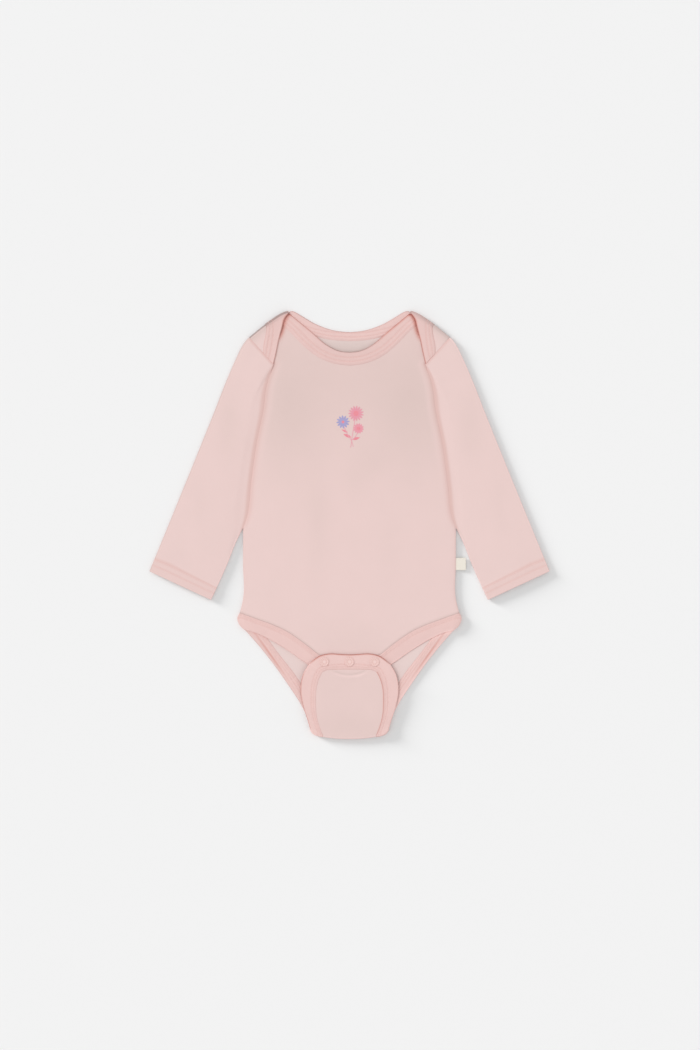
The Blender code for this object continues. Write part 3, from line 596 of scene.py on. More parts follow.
class Nodes:
    """Short ways to wire up a material."""

    def __init__(self, material):
        self.tree = material.node_tree
        self.shader = self.tree.nodes["Principled BSDF"]

    def add(self, kind, **settings):
        node = self.tree.nodes.new(kind)
        for name, value in settings.items():
            setattr(node, name, value)
        return node

    def feed(self, socket, value):
        if hasattr(value, "is_output"):
            self.tree.links.new(value, socket)
        else:
            socket.default_value = value

    def math(self, operation, *values):
        node = self.add("ShaderNodeMath", operation=operation)
        for socket, value in zip(node.inputs, values):
            self.feed(socket, value)
        return node.outputs[0]

    def total(self, *weighted):
        """Sum of pairs (value, weight)."""
        result = 0.0
        for value, weight in weighted:
            result = self.math("MULTIPLY_ADD", value, weight, result)
        return result

    def note(self, name):
        return self.add("ShaderNodeAttribute", attribute_name=name).outputs

    def knit_place(self):
        """The knit place as a vector, and its millimetres across, along, and its blush."""
        place = self.note("knit")["Vector"]
        parts = self.add("ShaderNodeSeparateXYZ")
        self.feed(parts.inputs[0], place)
        return place, parts.outputs

    def noise(self, vector, scale, detail):
        node = self.add("ShaderNodeTexNoise")
        self.feed(node.inputs["Vector"], vector)
        self.feed(node.inputs["Scale"], scale)
        self.feed(node.inputs["Detail"], detail)
        return node.outputs["Fac"]

    def paint(self, colour):
        self.feed(self.shader.inputs["Base Color"], colour)

    def roughen(self, value):
        self.feed(self.shader.inputs["Roughness"], value)

    def fuzz(self, weight, roughness):
        """The soft rim of light on brushed cotton."""
        self.feed(self.shader.inputs["Sheen Weight"], weight)
        self.feed(self.shader.inputs["Sheen Roughness"], roughness)
        self.feed(self.shader.inputs["Sheen Tint"], (*FUZZ_TINT, 1))
        self.feed(self.shader.inputs["Specular IOR Level"], CLOTH_SPECULAR)

    def bump(self, height, distance, strength):
        node = self.add("ShaderNodeBump")
        self.feed(node.inputs["Height"], height)
        self.feed(node.inputs["Distance"], distance)
        self.feed(node.inputs["Strength"], strength)
        self.feed(self.shader.inputs["Normal"], node.outputs["Normal"])

    def wave(self, value, pitch):
        """A sine with a pitch in millimetres."""
        return self.math("SINE", self.math("MULTIPLY", value, 2 * math.pi / pitch))

    def toned(self, share, colour, tint):
        """A colour by its tone: painted light at -1, plain at 0, noise and painted shade at 1, and the
        painted shade of a sharp fold at 2.
        """
        pale = self.colour_by(self.math("ADD", share, 1.0), tinted(colour, PALE_TINT), colour)
        noise_and_shade = self.colour_by(share, pale, tinted(colour, *tint))
        return self.colour_by(self.math("SUBTRACT", share, 1.0), noise_and_shade, tinted(colour, *FOLD_SHADE_TINT))

    def blushed(self, blush, shade, colour):
        """A colour reddened by blush, a pink painted shade, from 0 to 1, and deepened to a painted seam
        shadow from 1 to 2.
        """
        rosy = self.colour_by(blush, shade, tinted(colour, *PINK_SHADE_TINT))
        deep = self.colour_by(self.math("SUBTRACT", blush, 1.0), rosy, tinted(colour, *SEAM_SHADOW_TINT))
        self.paint(deep)

    def colour_by(self, share, low, high):
        """A colour that goes from low to high as share goes from 0 to 1."""
        node = self.add("ShaderNodeMix", data_type="RGBA")
        colours = [socket for socket in node.inputs if socket.type == "RGBA"]
        self.feed(node.inputs[0], share)
        for socket, colour in zip(colours, (low, high)):
            self.feed(socket, colour if hasattr(colour, "is_output") else (*colour, 1))
        return [socket for socket in node.outputs if socket.type == "RGBA"][0]


def tinted(colour, *factors):
    """A colour multiplied by one factor or by three."""
    factors = factors if len(factors) == 3 else factors * 3
    return tuple(channel * factor for channel, factor in zip(colour, factors))


# %% Jersey, rib and thread materials
FUZZ_TINT = (1.0, 0.93, 0.91)
CLOTH_SPECULAR = 0.25
JERSEY_PINK = (0.815, 0.616, 0.590)
INSIDE_PINK = (0.790, 0.632, 0.607)
RIB_PINK = (0.842, 0.594, 0.562)
THREAD_PINK = (0.86, 0.62, 0.585)
# Tints of painted light and shade: a pink shade for blush, the painted shadow of a seam, the painted shade of
# a sharp fold, and a paler tint for painted light and the noise's dips below 0.
PINK_SHADE_TINT = (0.84, 0.60, 0.55)
SEAM_SHADOW_TINT = (0.50, 0.19, 0.16)
FOLD_SHADE_TINT = (0.48, 0.50, 0.50)
PALE_TINT = 1.18
WALE, COURSE = 0.8, 0.6
RIB_PITCH = 1.15
# Tints at tone 1, for the noise's random tone and for painted shade.
TONE_AND_SHADE_TINT = (0.885, 0.905, 0.89)
RIB_TONE_AND_SHADE_TINT = (0.87, 0.87, 0.87)
HAIR_SCALE, LOOP_RELIEF = 1.7, 0.00018


def knitted(name, colour, wrong_side=False):
    """Fine single jersey; the wrong side shows rounder purl bumps."""
    material = principled(name, colour, 0.88)
    nodes = Nodes(material)
    vector, (x, y, blush) = nodes.knit_place()
    column = nodes.math("PINGPONG", x, WALE / 2)
    slanted = nodes.total((y, 1.0), (column, 0.35 if wrong_side else 1.15))
    row = nodes.math("DIVIDE", nodes.math("PINGPONG", slanted, COURSE / 2), COURSE / 2)
    loops = nodes.math("MULTIPLY", row, nodes.math("POWER", nodes.math("DIVIDE", column, WALE / 2), 0.5))
    hairs = nodes.noise(vector, HAIR_SCALE, 4.0)
    cloud = nodes.noise(vector, 0.035, 4.0)
    tone = nodes.note("tone")["Fac"]
    share = nodes.total((tone, 1.0), (cloud, 0.30), (hairs, 0.35), (loops, -0.16))
    shade = nodes.toned(nodes.math("ADD", share, -0.165), colour, TONE_AND_SHADE_TINT)      # less the noises' mean
    nodes.blushed(blush, shade, colour)
    nodes.roughen(nodes.total((hairs, 0.2), (1.0, 0.78)))
    nodes.bump(nodes.total((loops, 0.6), (hairs, 0.8)), LOOP_RELIEF, 0.5)
    nodes.fuzz(0.12, 0.5)
    return material


def ribbed(name, colour):
    """One-by-one rib, folded: fine ribs run across the binding, from its seam to its edge."""
    material = principled(name, colour, 0.9)
    nodes = Nodes(material)
    vector, (run, reach, blush) = nodes.knit_place()
    wave = nodes.wave(run, RIB_PITCH)
    loops = nodes.math("PINGPONG", reach, COURSE / 2)
    hairs = nodes.noise(vector, 1.9, 4.0)
    cloud = nodes.noise(vector, 0.06, 3.0)
    tone = nodes.note("tone")["Fac"]
    share = nodes.total((wave, -0.11), (cloud, 0.35), (tone, 1.0), (hairs, 0.2))
    shade = nodes.toned(nodes.math("ADD", share, -0.16), colour, RIB_TONE_AND_SHADE_TINT)
    nodes.blushed(blush, shade, colour)
    nodes.roughen(nodes.total((hairs, 0.18), (1.0, 0.8)))
    nodes.bump(nodes.total((wave, 0.5), (loops, 0.8), (hairs, 1.0)), 0.00022, 0.55)
    nodes.fuzz(0.10, 0.5)
    return material


def spun(name, colour):
    """Polyester sewing thread: two plies that catch a little light."""
    material = principled(name, colour, 0.55)
    nodes = Nodes(material)
    plies = nodes.noise(nodes.add("ShaderNodeTexCoord").outputs["Object"], 2600.0, 2.0)
    nodes.paint(nodes.colour_by(plies, tinted(colour, 1.08), tinted(colour, 0.88)))
    nodes.bump(plies, 0.00008, 0.5)
    nodes.fuzz(0.08, 0.4)
    return material


pink_jersey = knitted("pink_jersey", JERSEY_PINK)
pink_jersey_inside = knitted("pink_jersey_inside", INSIDE_PINK, wrong_side=True)
jersey_faces = [pink_jersey, pink_jersey_inside]
pink_rib = ribbed("pink_rib", RIB_PINK)
pink_thread = spun("pink_thread", THREAD_PINK)
print("wales per centimetre:", round(10 / WALE, 1), " courses:", round(10 / COURSE, 1))

# %% [markdown]
# ## The front
# One panel from the neck seam down to the leg seams. Its shoulders hide under the laps and its end
# under the crotch flap. The four edges are filled with a grid, and every grid point is lifted to the
# front's height. Its colour carries painted shade: broad patches, two of them below the shoulders, a pink
# shade along the armholes and sides, a line along the leg seams and a shadow beside the lap edges.

# %% Front panel
NECK_CUTS, SHOULDER_CUTS = 34, 14
LEG_CUTS = NECK_CUTS + SHOULDER_CUTS
SIDE_CUTS, ARMHOLE_CUTS, LAP_CUTS = 36, 64, 16
# Patches of painted shade: x, y, half width, half height, darkness.
FRONT_PAINTED_SHADE = [(0, 150, 160, 72, 0.56), (-62, 106, 34, 60, 0.46), (66, 106, 36, 60, 0.50),
               (-32, 4, 12, 46, 0.30), (22, 62, 16, 18, 0.26), (6, 44, 12, 18, 0.20), (40, -30, 14, 40, 0.10),
               (0, -118, 44, 18, 0.22)]
# Pink painted shade along the armholes and the sides, and a painted shade line along the leg seams.
ARMHOLE_BLUSH, SIDE_BLUSH = 0.32, 0.10
ARMHOLE_SPREAD, SIDE_SPREAD = 3.4, 2.0
LEG_SEAM_TONE, LEG_SEAM_SPREAD = 0.7, 0.9
# Less painted shade in a band just inside the sides, which reads as a painted highlight on the ridge there.
FAINT_BAND = (0.55, 5.5, 3.0)                   # how much fainter, distance from the side, width
LAP_SHADES = [(1, 1.9, 2.3), (-1, 1.6, 2.8)]    # beside each lap edge: side, depth and width


def patches(rows, sides=1):
    """A tone function from a table of soft patches; two sides repeat them left and right."""
    def tone(x, y):
        x = np.abs(x) if sides == 2 else x
        return sum(darkness * bell(x - place_x, half_width) * bell(y - place_y, half_height)
                   for place_x, place_y, half_width, half_height, darkness in rows)
    return tone


def lap_shade(plan):
    """A pink painted shadow beside the upper ends of the lap edges, cast where the most layers meet."""
    return ramp(plan[..., 1], 181, 193) * sum(depth * bell(gap_to(LAP_EDGE, plan, side), width)
                                              for side, depth, width in LAP_SHADES)


def front_tone(x, y):
    """The front's patches of painted shade, fainter in a band just inside its side edges."""
    return patches(FRONT_PAINTED_SHADE)(x, y) * (1 - ripples(side_distance(x, y), [FAINT_BAND]))


def past_first_row(plan):
    """Distance of every point of a plan from the first point of its column."""
    return np.linalg.norm(plan - plan[:1], axis=2)


shoulder_shares = mix(FRONT_NECK_FOLD_SHARE, 1.0, even(SHOULDER_CUTS))
front_shoulder = shoulder_fold(shoulder_shares, FRONT_SHOULDER_INSET)[0]
side_seam = along(SIDE_SEAM[::-1], even(SIDE_CUTS))
armhole_front = np.vstack((along(ARMHOLE_FRONT[::-1], even(ARMHOLE_CUTS)),
                           along([LAP_TIP, SHOULDER_POINT], even(LAP_CUTS))[1:]))

front_top = both_halves(np.vstack((along(FRONT_NECK_SEAM + [front_neck_corner], even(NECK_CUTS)),
                                   front_shoulder[1:])))
front_right = np.vstack((side_seam, armhole_front[1:-1], front_top[-1:]))
front_plan = grid_between(both_halves(along(FRONT_LEG_SEAM, even(LEG_CUTS))), front_top,
                          mirrored(front_right), front_right)
from_side = side_distance(front_plan[..., 0], front_plan[..., 1])
by_armhole = ramp(front_plan[..., 1], -10, 6)
side_shade = bell(from_side, mix(SIDE_SPREAD, ARMHOLE_SPREAD, by_armhole))
front_note = notes(front_plan, blush=mix(SIDE_BLUSH, ARMHOLE_BLUSH, by_armhole) * side_shade,
                   tone=LEG_SEAM_TONE * bell(past_first_row(front_plan), LEG_SEAM_SPREAD))
front_note[..., BLUSH] += lap_shade(front_plan)
front_note[[0, -1], 1:-1, CUT] = SEAM_TUCK
front = cloth("front", [above(front_plan, front_rise, CLOTH, front_note)], jersey_faces, front_tone)

# %% [markdown]
# ## The back, its laps and the crotch flap
# The back is the largest cut of the garment: flat on the floor, turned over at both shoulders to make
# the laps, and turned up at the crotch to make the flap. It could be three pieces laid together, but
# then each fold would show a join. One sheet that goes round the folds has none, as in the real cut.

# %% Back panel
FLAP_CUTS = 64
FLAP_TONE = 0.25
# Tone patches: painted shade inside the neck opening, and a darker patch near the crotch fold.
BACK_TONES = [(0, 174, 44, 16, 0.85), (0, -204, 40, 14, 0.3)]
# Painted shade on the right and the left shoulder fold, and on their upper ends. The left one faces the sun.
LAP_FOLD_TONES = [(1.2, 1.1), (2.2, 0.6)]
# Painted light: the crotch fold faces away from the sun, so it is made paler.
CROTCH_FOLD_TONE = -0.6
FOLD_SHADES = [(0.75, 0, 6.5), (0.35, 0, 2.2)]          # on a lap: tone, distance from its fold, width
# A painted shade line where the bound end under the flap stops, and a painted highlight just below it.
END_SHADE_AND_HIGHLIGHT = [(0.6, 0.1, 1.0), (-0.45, -2.1, 1.0)]       # on the flap, by distance past the bound end


def back_lift(x, y):
    """Height of the back over the floor: it touches down between soft creases."""
    from_edge = 1 - front_reach(x, y)
    inside = ramp(from_edge, 0, 0.25) * ramp(y, 178, 152) * ramp(y, -206, -188)
    return creases(x, y, BACK_CREASES) * inside


lap_feet, lap_out = shoulder_fold(mix(NECK_FOLD_SHARE, 1.0, even(SHOULDER_CUTS)))
crotch_feet, crotch_out = [both_halves(half) for half in crotch_fold(SEAM_FOLD_X * even(LEG_CUTS))]
back_top = both_halves(np.vstack((along(BACK_NECK_SEAM + [back_neck_corner], even(NECK_CUTS)), lap_feet[1:])))
back_right = np.vstack((along(SEAT_SEAM + [flap_seam_foot], even(LEG_CUTS))[::-1], side_seam[1:],
                        along(ARMHOLE_BACK[::-1], even(ARMHOLE_CUTS + LAP_CUTS))[1:]))
back_plan = grid_between(crotch_feet, back_top, mirrored(back_right), back_right)
back_base = back_lift(back_plan[..., 0], back_plan[..., 1])

lap_plan = grid_between(lap_feet, np.repeat([lap_seam_end], len(lap_feet), axis=0),
                        along([tuple(lap_feet[0])] + LAP_SEAM + [lap_seam_end], even(LAP_CUTS)),
                        along([SHOULDER_POINT, lap_seam_end], even(LAP_CUTS)))
lap_top = lap_rise(*lap_feet.T) + CLOTH
lap_fold, left_lap_fold = [
    folded(lap_feet, lap_out, lap_top, CLOTH, notes(lap_plan)[0], tone, top_tone=top_tone)
    for tone, top_tone in LAP_FOLD_TONES]
crotch_turn = folded(crotch_feet, crotch_out, flap_rise(*crotch_feet.T) + CLOTH, CLOTH, notes(back_plan)[0],
                     CROTCH_FOLD_TONE)
flap_side_seam = along([flap_seam_foot] + FLAP_SIDE_SEAM, even(FLAP_CUTS))
flap_plan = grid_between(crotch_feet, both_halves(along(FLAP_TOP_SEAM[::-1], even(LEG_CUTS))),
                         mirrored(flap_side_seam), flap_side_seam)
back_note, lap_note = notes(back_plan), notes(lap_plan)
lap_note[..., TONE] += ripples(past_first_row(lap_plan), FOLD_SHADES)
back_note[-1, SHOULDER_CUTS:-SHOULDER_CUTS, CUT] = SEAM_TUCK
back_note[1:LEG_CUTS, [0, -1], CUT] = SEAM_TUCK
lap_note[1:-1, 0, CUT] = SEAM_TUCK
past_end, shown = past_bound_end(flap_plan[..., 0], flap_plan[..., 1])
flap_note = notes(flap_plan, cut=SEAM_TUCK, tone=FLAP_TONE + shown * ripples(past_end, END_SHADE_AND_HIGHLIGHT))
lap_layer = above(lap_plan, lap_rise, CLOTH, lap_note)
back = cloth("back", [layer(back_plan, back_base, back_base + CLOTH, back_note), lap_fold,
                      other_side(left_lap_fold), lap_layer, other_side(lap_layer), crotch_turn,
                      above(flap_plan, flap_rise, CLOTH, flap_note)], jersey_faces, patches(BACK_TONES))

# %% [markdown]
# ## The sleeves
# A sleeve is a flat tube with soft rounded edges. Its rows run from the armhole to the cuff. Beside
# the armhole it starts low and swells within a finger's width, which makes the soft valley between
# the sleeve and the body. The turned hem is a little thicker, with two stitched furrows, and the cloth
# between them ropes slightly, as every coverstitched hem does.

# %% Sleeve heights
SLEEVE_CUTS, HEM_CUTS = 84, 18
HEM_RAISE = 0.30
HEM_STITCHES = (1.0, 6.4)       # distance of the needle rows from the hem's top
HEM_FURROW, HEM_FURROW_WIDTH = 0.16, 0.7
HEM_ROPING, ROPE_SLANT, ROPE_PITCH = 0.07, 0.9, 4.6
SLEEVE_EDGE = 2.8
VALLEY_WIDTH = 34.0
EDGE_TURN, EDGE_SETTLE = 12.0, 34.0     # lengths in which an edge takes its own direction and height
SEAM_DROP = 0.12        # the sleeve's edge passes under the armhole's
RIB_STEP = 0.35         # how much higher the lap's binding is than plain jersey, at the armhole
SEAM_PUCKER, PUCKER_TURNS = 0.10, 190.0
sleeve_crown = reader([(0.0, 0.6), (0.15, 0.7), (0.4, 0.8), (0.7, 0.8), (1.0, 0.7)])
SLEEVE_CREASES = [(120, 102, -68, 26, 7, -0.16), (128, 96, -66, 24, 8, 0.12), (128, 60, -62, 30, 8, -0.10),
                  (120, 16, -58, 20, 7, 0.12), (152, 20, -70, 26, 8, -0.10), (146, -28, -20, 16, 5, 0.10),
                  (168, -34, -24, 16, 5, -0.10)]
# Patches of painted shade along the sleeves' creases: x, y, half width, half height, darkness.
SLEEVE_CREASE_SHADE = [(121, 98, 12, 30, 0.32), (150, 20, 8, 30, 0.15), (172, -40, 14, 18, 0.12)]


def outward(points, start_degrees, turn):
    """Directions square to a line of points, on one side of it, easing from a given first one."""
    directions = mix(towards(np.full(len(points), float(start_degrees))), square_to(points) * turn,
                     ramp(length_of(points), 0, EDGE_TURN)[:, None])
    return directions / np.linalg.norm(directions, axis=1)[:, None]


def sleeve_rows(silhouette):
    """Shares of a sleeve edge for each row, and how far each row is below the hem's top."""
    length = length_of(smooth(silhouette))[-1]
    hem = 1 - HEM_DEPTH / length
    shares = np.concatenate((even(SLEEVE_CUTS)[:-1] * hem, mix(hem, 1.0, even(HEM_CUTS))))
    return shares, (shares - hem) * length


row_share, hem_place = sleeve_rows(SLEEVE_OUTER)
hem_lift = HEM_RAISE * ease(hem_place / 0.9 + 0.5)
hem_furrows = ripples(hem_place, [(HEM_FURROW, row, HEM_FURROW_WIDTH) for row in HEM_STITCHES])
hem_roping = HEM_ROPING * bell(hem_place - sum(HEM_STITCHES) / 2, 3.2)


def sleeve_edge(silhouette, start, start_height, start_degrees, turn):
    """Feet, directions and heights of a sleeve's folded edge."""
    visible = along(silhouette, sleeve_rows(silhouette)[0])
    directions = outward(visible, start_degrees, turn)
    settle = ramp(length_of(visible), 0, EDGE_SETTLE)
    heights = mix(start_height, SLEEVE_EDGE + hem_lift, settle)
    feet = visible - directions * heights[:, None] / 2
    feet[0] = start
    return feet, directions, heights


# %% Build both sleeves
# Blush on the turned hem, and pink painted shade along the cuff's edge and in the hem's furrows.
HEM_BLUSH, HEM_EDGE_BLUSH = 0.10, 0.30
CUFF_ROUND = 0.45
# Pink painted shade in the valley beside the armhole.
UNDERARM_BLUSH, SHOULDER_BLUSH = 0.36, 0.42         # beside the armhole, below the lap and on it
UNDERARM_SPREAD, SHOULDER_SPREAD = 4.4, 1.1
# Painted tones of the inner and the outer fold: shade above 0, light below. The outer fold of the left sleeve
# faces the sun.
RIGHT_FOLD_TONES, LEFT_FOLD_TONES = (-0.4, -1.0), (-1.2, 1.1)


def sleeve_sheets(inner_tone, outer_tone):
    """Top, bottom and both folded edges of a right sleeve, in that order."""
    place = np.arange(len(armhole_front)) - ARMHOLE_CUTS
    on_lap = ramp(place, -6, 1)
    on_rib = on_lap * ease((LAP_SEAM_SHARE * LAP_CUTS - place) / 3)
    under = mix(front_rise(*armhole_front.T), lap_rise(*armhole_front.T), on_lap)
    tops = under + CLOTH + RIB_STEP * on_rib - SEAM_DROP
    inner, inner_out, inner_height = sleeve_edge(SLEEVE_INNER, UNDERARM, tops[0], -72.0, -1)
    outer, outer_out, outer_height = sleeve_edge(SLEEVE_OUTER, SHOULDER_POINT, tops[-1],
                                                 float(shoulder_degrees(1.0)), 1)
    cuff = mix(inner[-1], outer[-1], even(len(armhole_front) - 1)[:, None])
    armhole_back = along(ARMHOLE_BACK[::-1], even(ARMHOLE_CUTS + LAP_CUTS))
    top_plan, bottom_plan = [grid_between(line, cuff, inner, outer, row_share)
                             for line in (armhole_front, armhole_back)]
    rows, reach = row_share[:, None], even(len(armhole_front) - 1)[None, :]
    width = np.linalg.norm(outer - inner, axis=1)[:, None]
    edge = mix(inner_height[:, None], outer_height[:, None], reach)
    bow = 4 * reach * (1 - reach)
    swollen = edge + sleeve_crown(row_share)[:, None] * bow \
        + creases(top_plan[..., 0], top_plan[..., 1], SLEEVE_CREASES) * bow ** 0.5
    from_armhole = np.linalg.norm(top_plan - armhole_front[None], axis=2)
    height = mix(tops[None, :], swollen, ramp(from_armhole, 0, VALLEY_WIDTH))
    slanted = reach * width + hem_place[:, None] * ROPE_SLANT
    rope = np.sin(slanted * 2 * math.pi / ROPE_PITCH) * hem_roping[:, None]
    by_inner_edge = bell(reach * width - 4, 4) * ease(rows * 12)
    pucker = SEAM_PUCKER * np.sin(rows * PUCKER_TURNS) * by_inner_edge
    height += (rope + pucker - hem_furrows[:, None]) * ease(bow * 6)
    height[:, 0], height[:, -1] = inner_height, outer_height
    walls = CLOTH + hem_lift

    down = (outer[-1] - inner[-1]) / np.linalg.norm(outer[-1] - inner[-1])
    to_knit = np.array([[down[0], -down[1]], [down[1], down[0]]])
    on_seam = ramp(place, -4, 1)
    # Painted shade beside the armhole seam: pink blush, and a darker tone on the sleeve below the lap.
    seam_shade = bell(np.maximum(from_armhole - 2.5 * (1 - on_seam), 0),
                      mix(UNDERARM_SPREAD, SHOULDER_SPREAD, on_seam))
    seam_blush = mix(UNDERARM_BLUSH, SHOULDER_BLUSH, on_seam) * seam_shade
    hem_blush = (HEM_BLUSH * hem_lift / HEM_RAISE + HEM_EDGE_BLUSH * bell(hem_place + 0.3, 0.6)
                 + hem_furrows)[:, None]
    rim = np.where(np.arange(len(top_plan))[:, None] == len(top_plan) - 1, CUFF_ROUND, SEAM_ROUND)
    top_note = notes(top_plan, top_plan @ to_knit, seam_blush + hem_blush, 0.5 * (1 - on_seam) * seam_shade,
                     rim=rim)
    bottom_note = notes(bottom_plan, bottom_plan @ to_knit, hem_blush, rim=rim)
    top_note[0, 1:-1, CUT] = bottom_note[0, 1:-1, CUT] = SEAM_TUCK
    base = np.maximum(creases(bottom_plan[..., 0], bottom_plan[..., 1], SLEEVE_CREASES), 0) \
        * 1.4 * bow * ramp(from_armhole, 0, 20)
    sheets = [layer(top_plan, height, height - walls[:, None], top_note),
              layer(bottom_plan, base, base + walls[:, None], bottom_note)]
    for feet, out, heights, column, tone in ((inner, inner_out, inner_height, 0, inner_tone),
                                             (outer, outer_out, outer_height, -1, outer_tone)):
        sheets.append(folded(feet, out, heights, walls, bottom_note[:, column], tone))
    return sheets


right_sleeve = sleeve_sheets(*RIGHT_FOLD_TONES)
left_sleeve = [other_side(sheet) for sheet in sleeve_sheets(*LEFT_FOLD_TONES)]
sleeve_right, sleeve_left = [
    cloth(name, sleeve, jersey_faces, patches(SLEEVE_CREASE_SHADE, 2))
    for name, sleeve in (("sleeve_right_cloth", right_sleeve), ("sleeve_left_cloth", left_sleeve))]

# %% [markdown]
# ## Rib bindings
# Each raw edge is wrapped in a folded rib strip and fastened with a twin needle. A tube swept along
# the edge would be too round and would lose the flat, pressed look. So a binding is a ruled strip
# between its seam and its folded edge, with a pressed profile across: thin at the seam, two shallow
# stitch furrows, and a soft round edge. Small puckers repeat along it, as elastic rib always has, and
# they are strongest where a strip ends.

# %% Profile across a binding
ACROSS_CUTS = 30
NECK_ROWS = (4.0, 8.0)          # distances of the two needle rows from the seam
LEG_ROWS = (2.8, 5.4)
FURROW_WIDTH, FURROW_DEPTH = 0.7, 0.24
PUCKER_LENGTH, PUCKER_HEIGHT = 5.2, 0.07
# Pink painted shade along the stitch furrows.
FURROW_BLUSH = 0.20
EDGE_ROUND = 0.6
SHADED_ROUND = 0.3      # on edges that face away from the sun
SEAM_WALL, EDGE_WALL = 0.66, 0.78               # share of the full wall at the seam and at the edge
SEAM_RISE, EDGE_RISE = 2.4, 1.3                 # distances in which the full wall is reached
BAND_WIDTH = 14
crosswise = even(ACROSS_CUTS)[None, :]          # share of the way across, from the seam to the edge
to_edge = (1 - crosswise) * BAND_WIDTH


class Binding:
    """A strip between a seam and an edge, with its profile across and its place along."""

    def __init__(self, seam, edge, rows, first=None, last=None, runs_from=None, way=1, end_puckers=0.0,
                 edge_blush=(0.3, 0.9), seam_blush=(0.3, 0.7), edge_tone=(1.0, 0.8), seam_tone=(0.3, 1.0)):
        self.plan = mix(seam[:, None, :], edge[:, None, :], crosswise[..., None])
        if first is not None:
            self.plan[0] = first
        if last is not None:
            self.plan[-1] = last
        done = length_of(self.plan.mean(axis=1))
        self.run = done - done[-1] / 2 if runs_from is None else runs_from + way * done
        width = np.linalg.norm(self.plan[:, -1] - self.plan[:, 0], axis=1)[:, None]
        run = self.run[:, None]
        from_seam, from_edge = crosswise * width, (1 - crosswise) * width
        from_end = np.minimum(done, done[-1] - done)[:, None]
        body = (mix(SEAM_WALL, 1, ramp(from_seam, 0, SEAM_RISE))
                * mix(EDGE_WALL, 1, ramp(from_edge, 0, EDGE_RISE)))
        furrows = sum(bell(from_seam - row, FURROW_WIDTH) for row in rows)
        phase = math.pi * run / PUCKER_LENGTH
        waver = np.cos(2 * phase) + 0.6 * np.cos(1.17 * phase)          # two beats, so that no row repeats
        puckered = bell(from_seam - sum(rows) / 2, 4.0) + bell(from_end, 9) * end_puckers
        self.wall = RIB * body - FURROW_DEPTH * furrows + PUCKER_HEIGHT * waver * puckered
        self.lift = FURROW_DEPTH * furrows * ramp(from_end, 0, 6)
        knit = np.dstack((np.broadcast_to(run, self.wall.shape), from_seam))
        # Blush and tone paint shade along the furrows, the edge and the seam; an edge tone below 0 paints
        # light.
        shades = (FURROW_BLUSH, edge_blush, seam_blush), (0, edge_tone, seam_tone)
        blush, tone = [furrow * furrows + edge[0] * bell(from_edge, edge[1])
                       + seam[0] * bell(from_seam, seam[1]) for furrow, edge, seam in shades]
        self.note = notes(self.plan, knit, blush, tone)
        self.note[:, -1, RIM] = EDGE_ROUND

    def on_floor(self):
        return layer(self.plan, self.lift, self.wall, self.note)

    def on_top(self, rise):
        return above(self.plan, rise, self.wall, self.note)


def half_lines(seam, edge, steps):
    """Seam and edge of a strip on the right half, stepped off evenly."""
    return [along(marks, even(steps)) for marks in (seam, edge)]


def whole_lines(seam, edge, steps):
    """Seam and edge of a strip from its left end to its right end."""
    return [both_halves(half) for half in half_lines(seam, edge, steps)]


def middle_length(lines):
    """Length along the middle of a strip."""
    return length_of((lines[0] + lines[1]) / 2)[-1]


def edge_gap(note):
    """Distance from a binding's edge, from the notes of how far it reaches."""
    return note[:, -1:, REACH] - note[..., REACH]


def binding_fold(feet, out, rise, wall, note, tone, run, way, top_tone=0.0):
    """The fold between a strip on the floor and one on top, and the length along at its far end."""
    height = rise(*feet.T) + wall
    far = run + way * math.pi * float(height.mean()) / 2
    return folded(feet, out, height, wall, note, tone, (run, far), top_tone), far


# %% [markdown]
# Each strip is then toned. An edge that faces the sun, on the left and at the top, needs a
# deeper tone to be seen. An edge in shade, on the right and at the bottom, gets a paler one, so that
# the shade doesn't turn into a hard dark line.

# %% Front neck binding and front leg binding
NECK_STEPS, LEG_STEPS = 84, 112
FRONT_RIB_TONES = [(0, 170, 80, 50, 0.45)]
NECK_DROOP, LEG_DROOP = 0.3, 0.85       # how far an edge sinks towards the layer below it
LEG_THINNING = 0.35                     # how much thinner the leg edge is pressed
# The front neck binding carries painted shade: a deep tone along its edge, a pink painted shadow towards the
# neck points and beside the lap edges, and a line by the seam in the middle. The left edge lies in shade, so
# it is painted paler towards the apex.
front_neck_strip = Binding(*whole_lines(FRONT_NECK_SEAM + [front_neck_corner],
                                        FRONT_NECK_EDGE + [front_neck_tip], NECK_STEPS), NECK_ROWS,
                           edge_tone=(1.6, 0.9), seam_blush=(0.05, 0.7), seam_tone=(0.0, 1.0))
across = front_neck_strip.plan[:, -1:, 0]
apex = ramp(np.abs(across), 12, 48)             # grows towards the neck points
on_right = ramp(across, -20, 20)
neck_note = front_neck_strip.note
neck_note[..., BLUSH] += apex * mix(0.5, 1.1, on_right) * bell(to_edge, mix(0.7, 1.5, apex))
neck_note[..., BLUSH] += 0.8 * lap_shade(front_neck_strip.plan)
neck_note[..., TONE] += (0.4 * bell(across, 24) * bell(BAND_WIDTH - to_edge, 0.9)
                         - 1.9 * apex * (1 - on_right) * bell(to_edge, 1.0))
front_neck_strip.wall -= NECK_DROOP * apex * crosswise ** 2
neck_droop = NECK_DROOP * apex * crosswise
front_neck_sheet = front_neck_strip.on_top(lambda x, y: front_rise(x, y) - neck_droop)
front_neck = cloth("front_neck_rib", [front_neck_sheet], [pink_rib], patches(FRONT_RIB_TONES))

hip_end = along(HIP_END, even(ACROSS_CUTS))
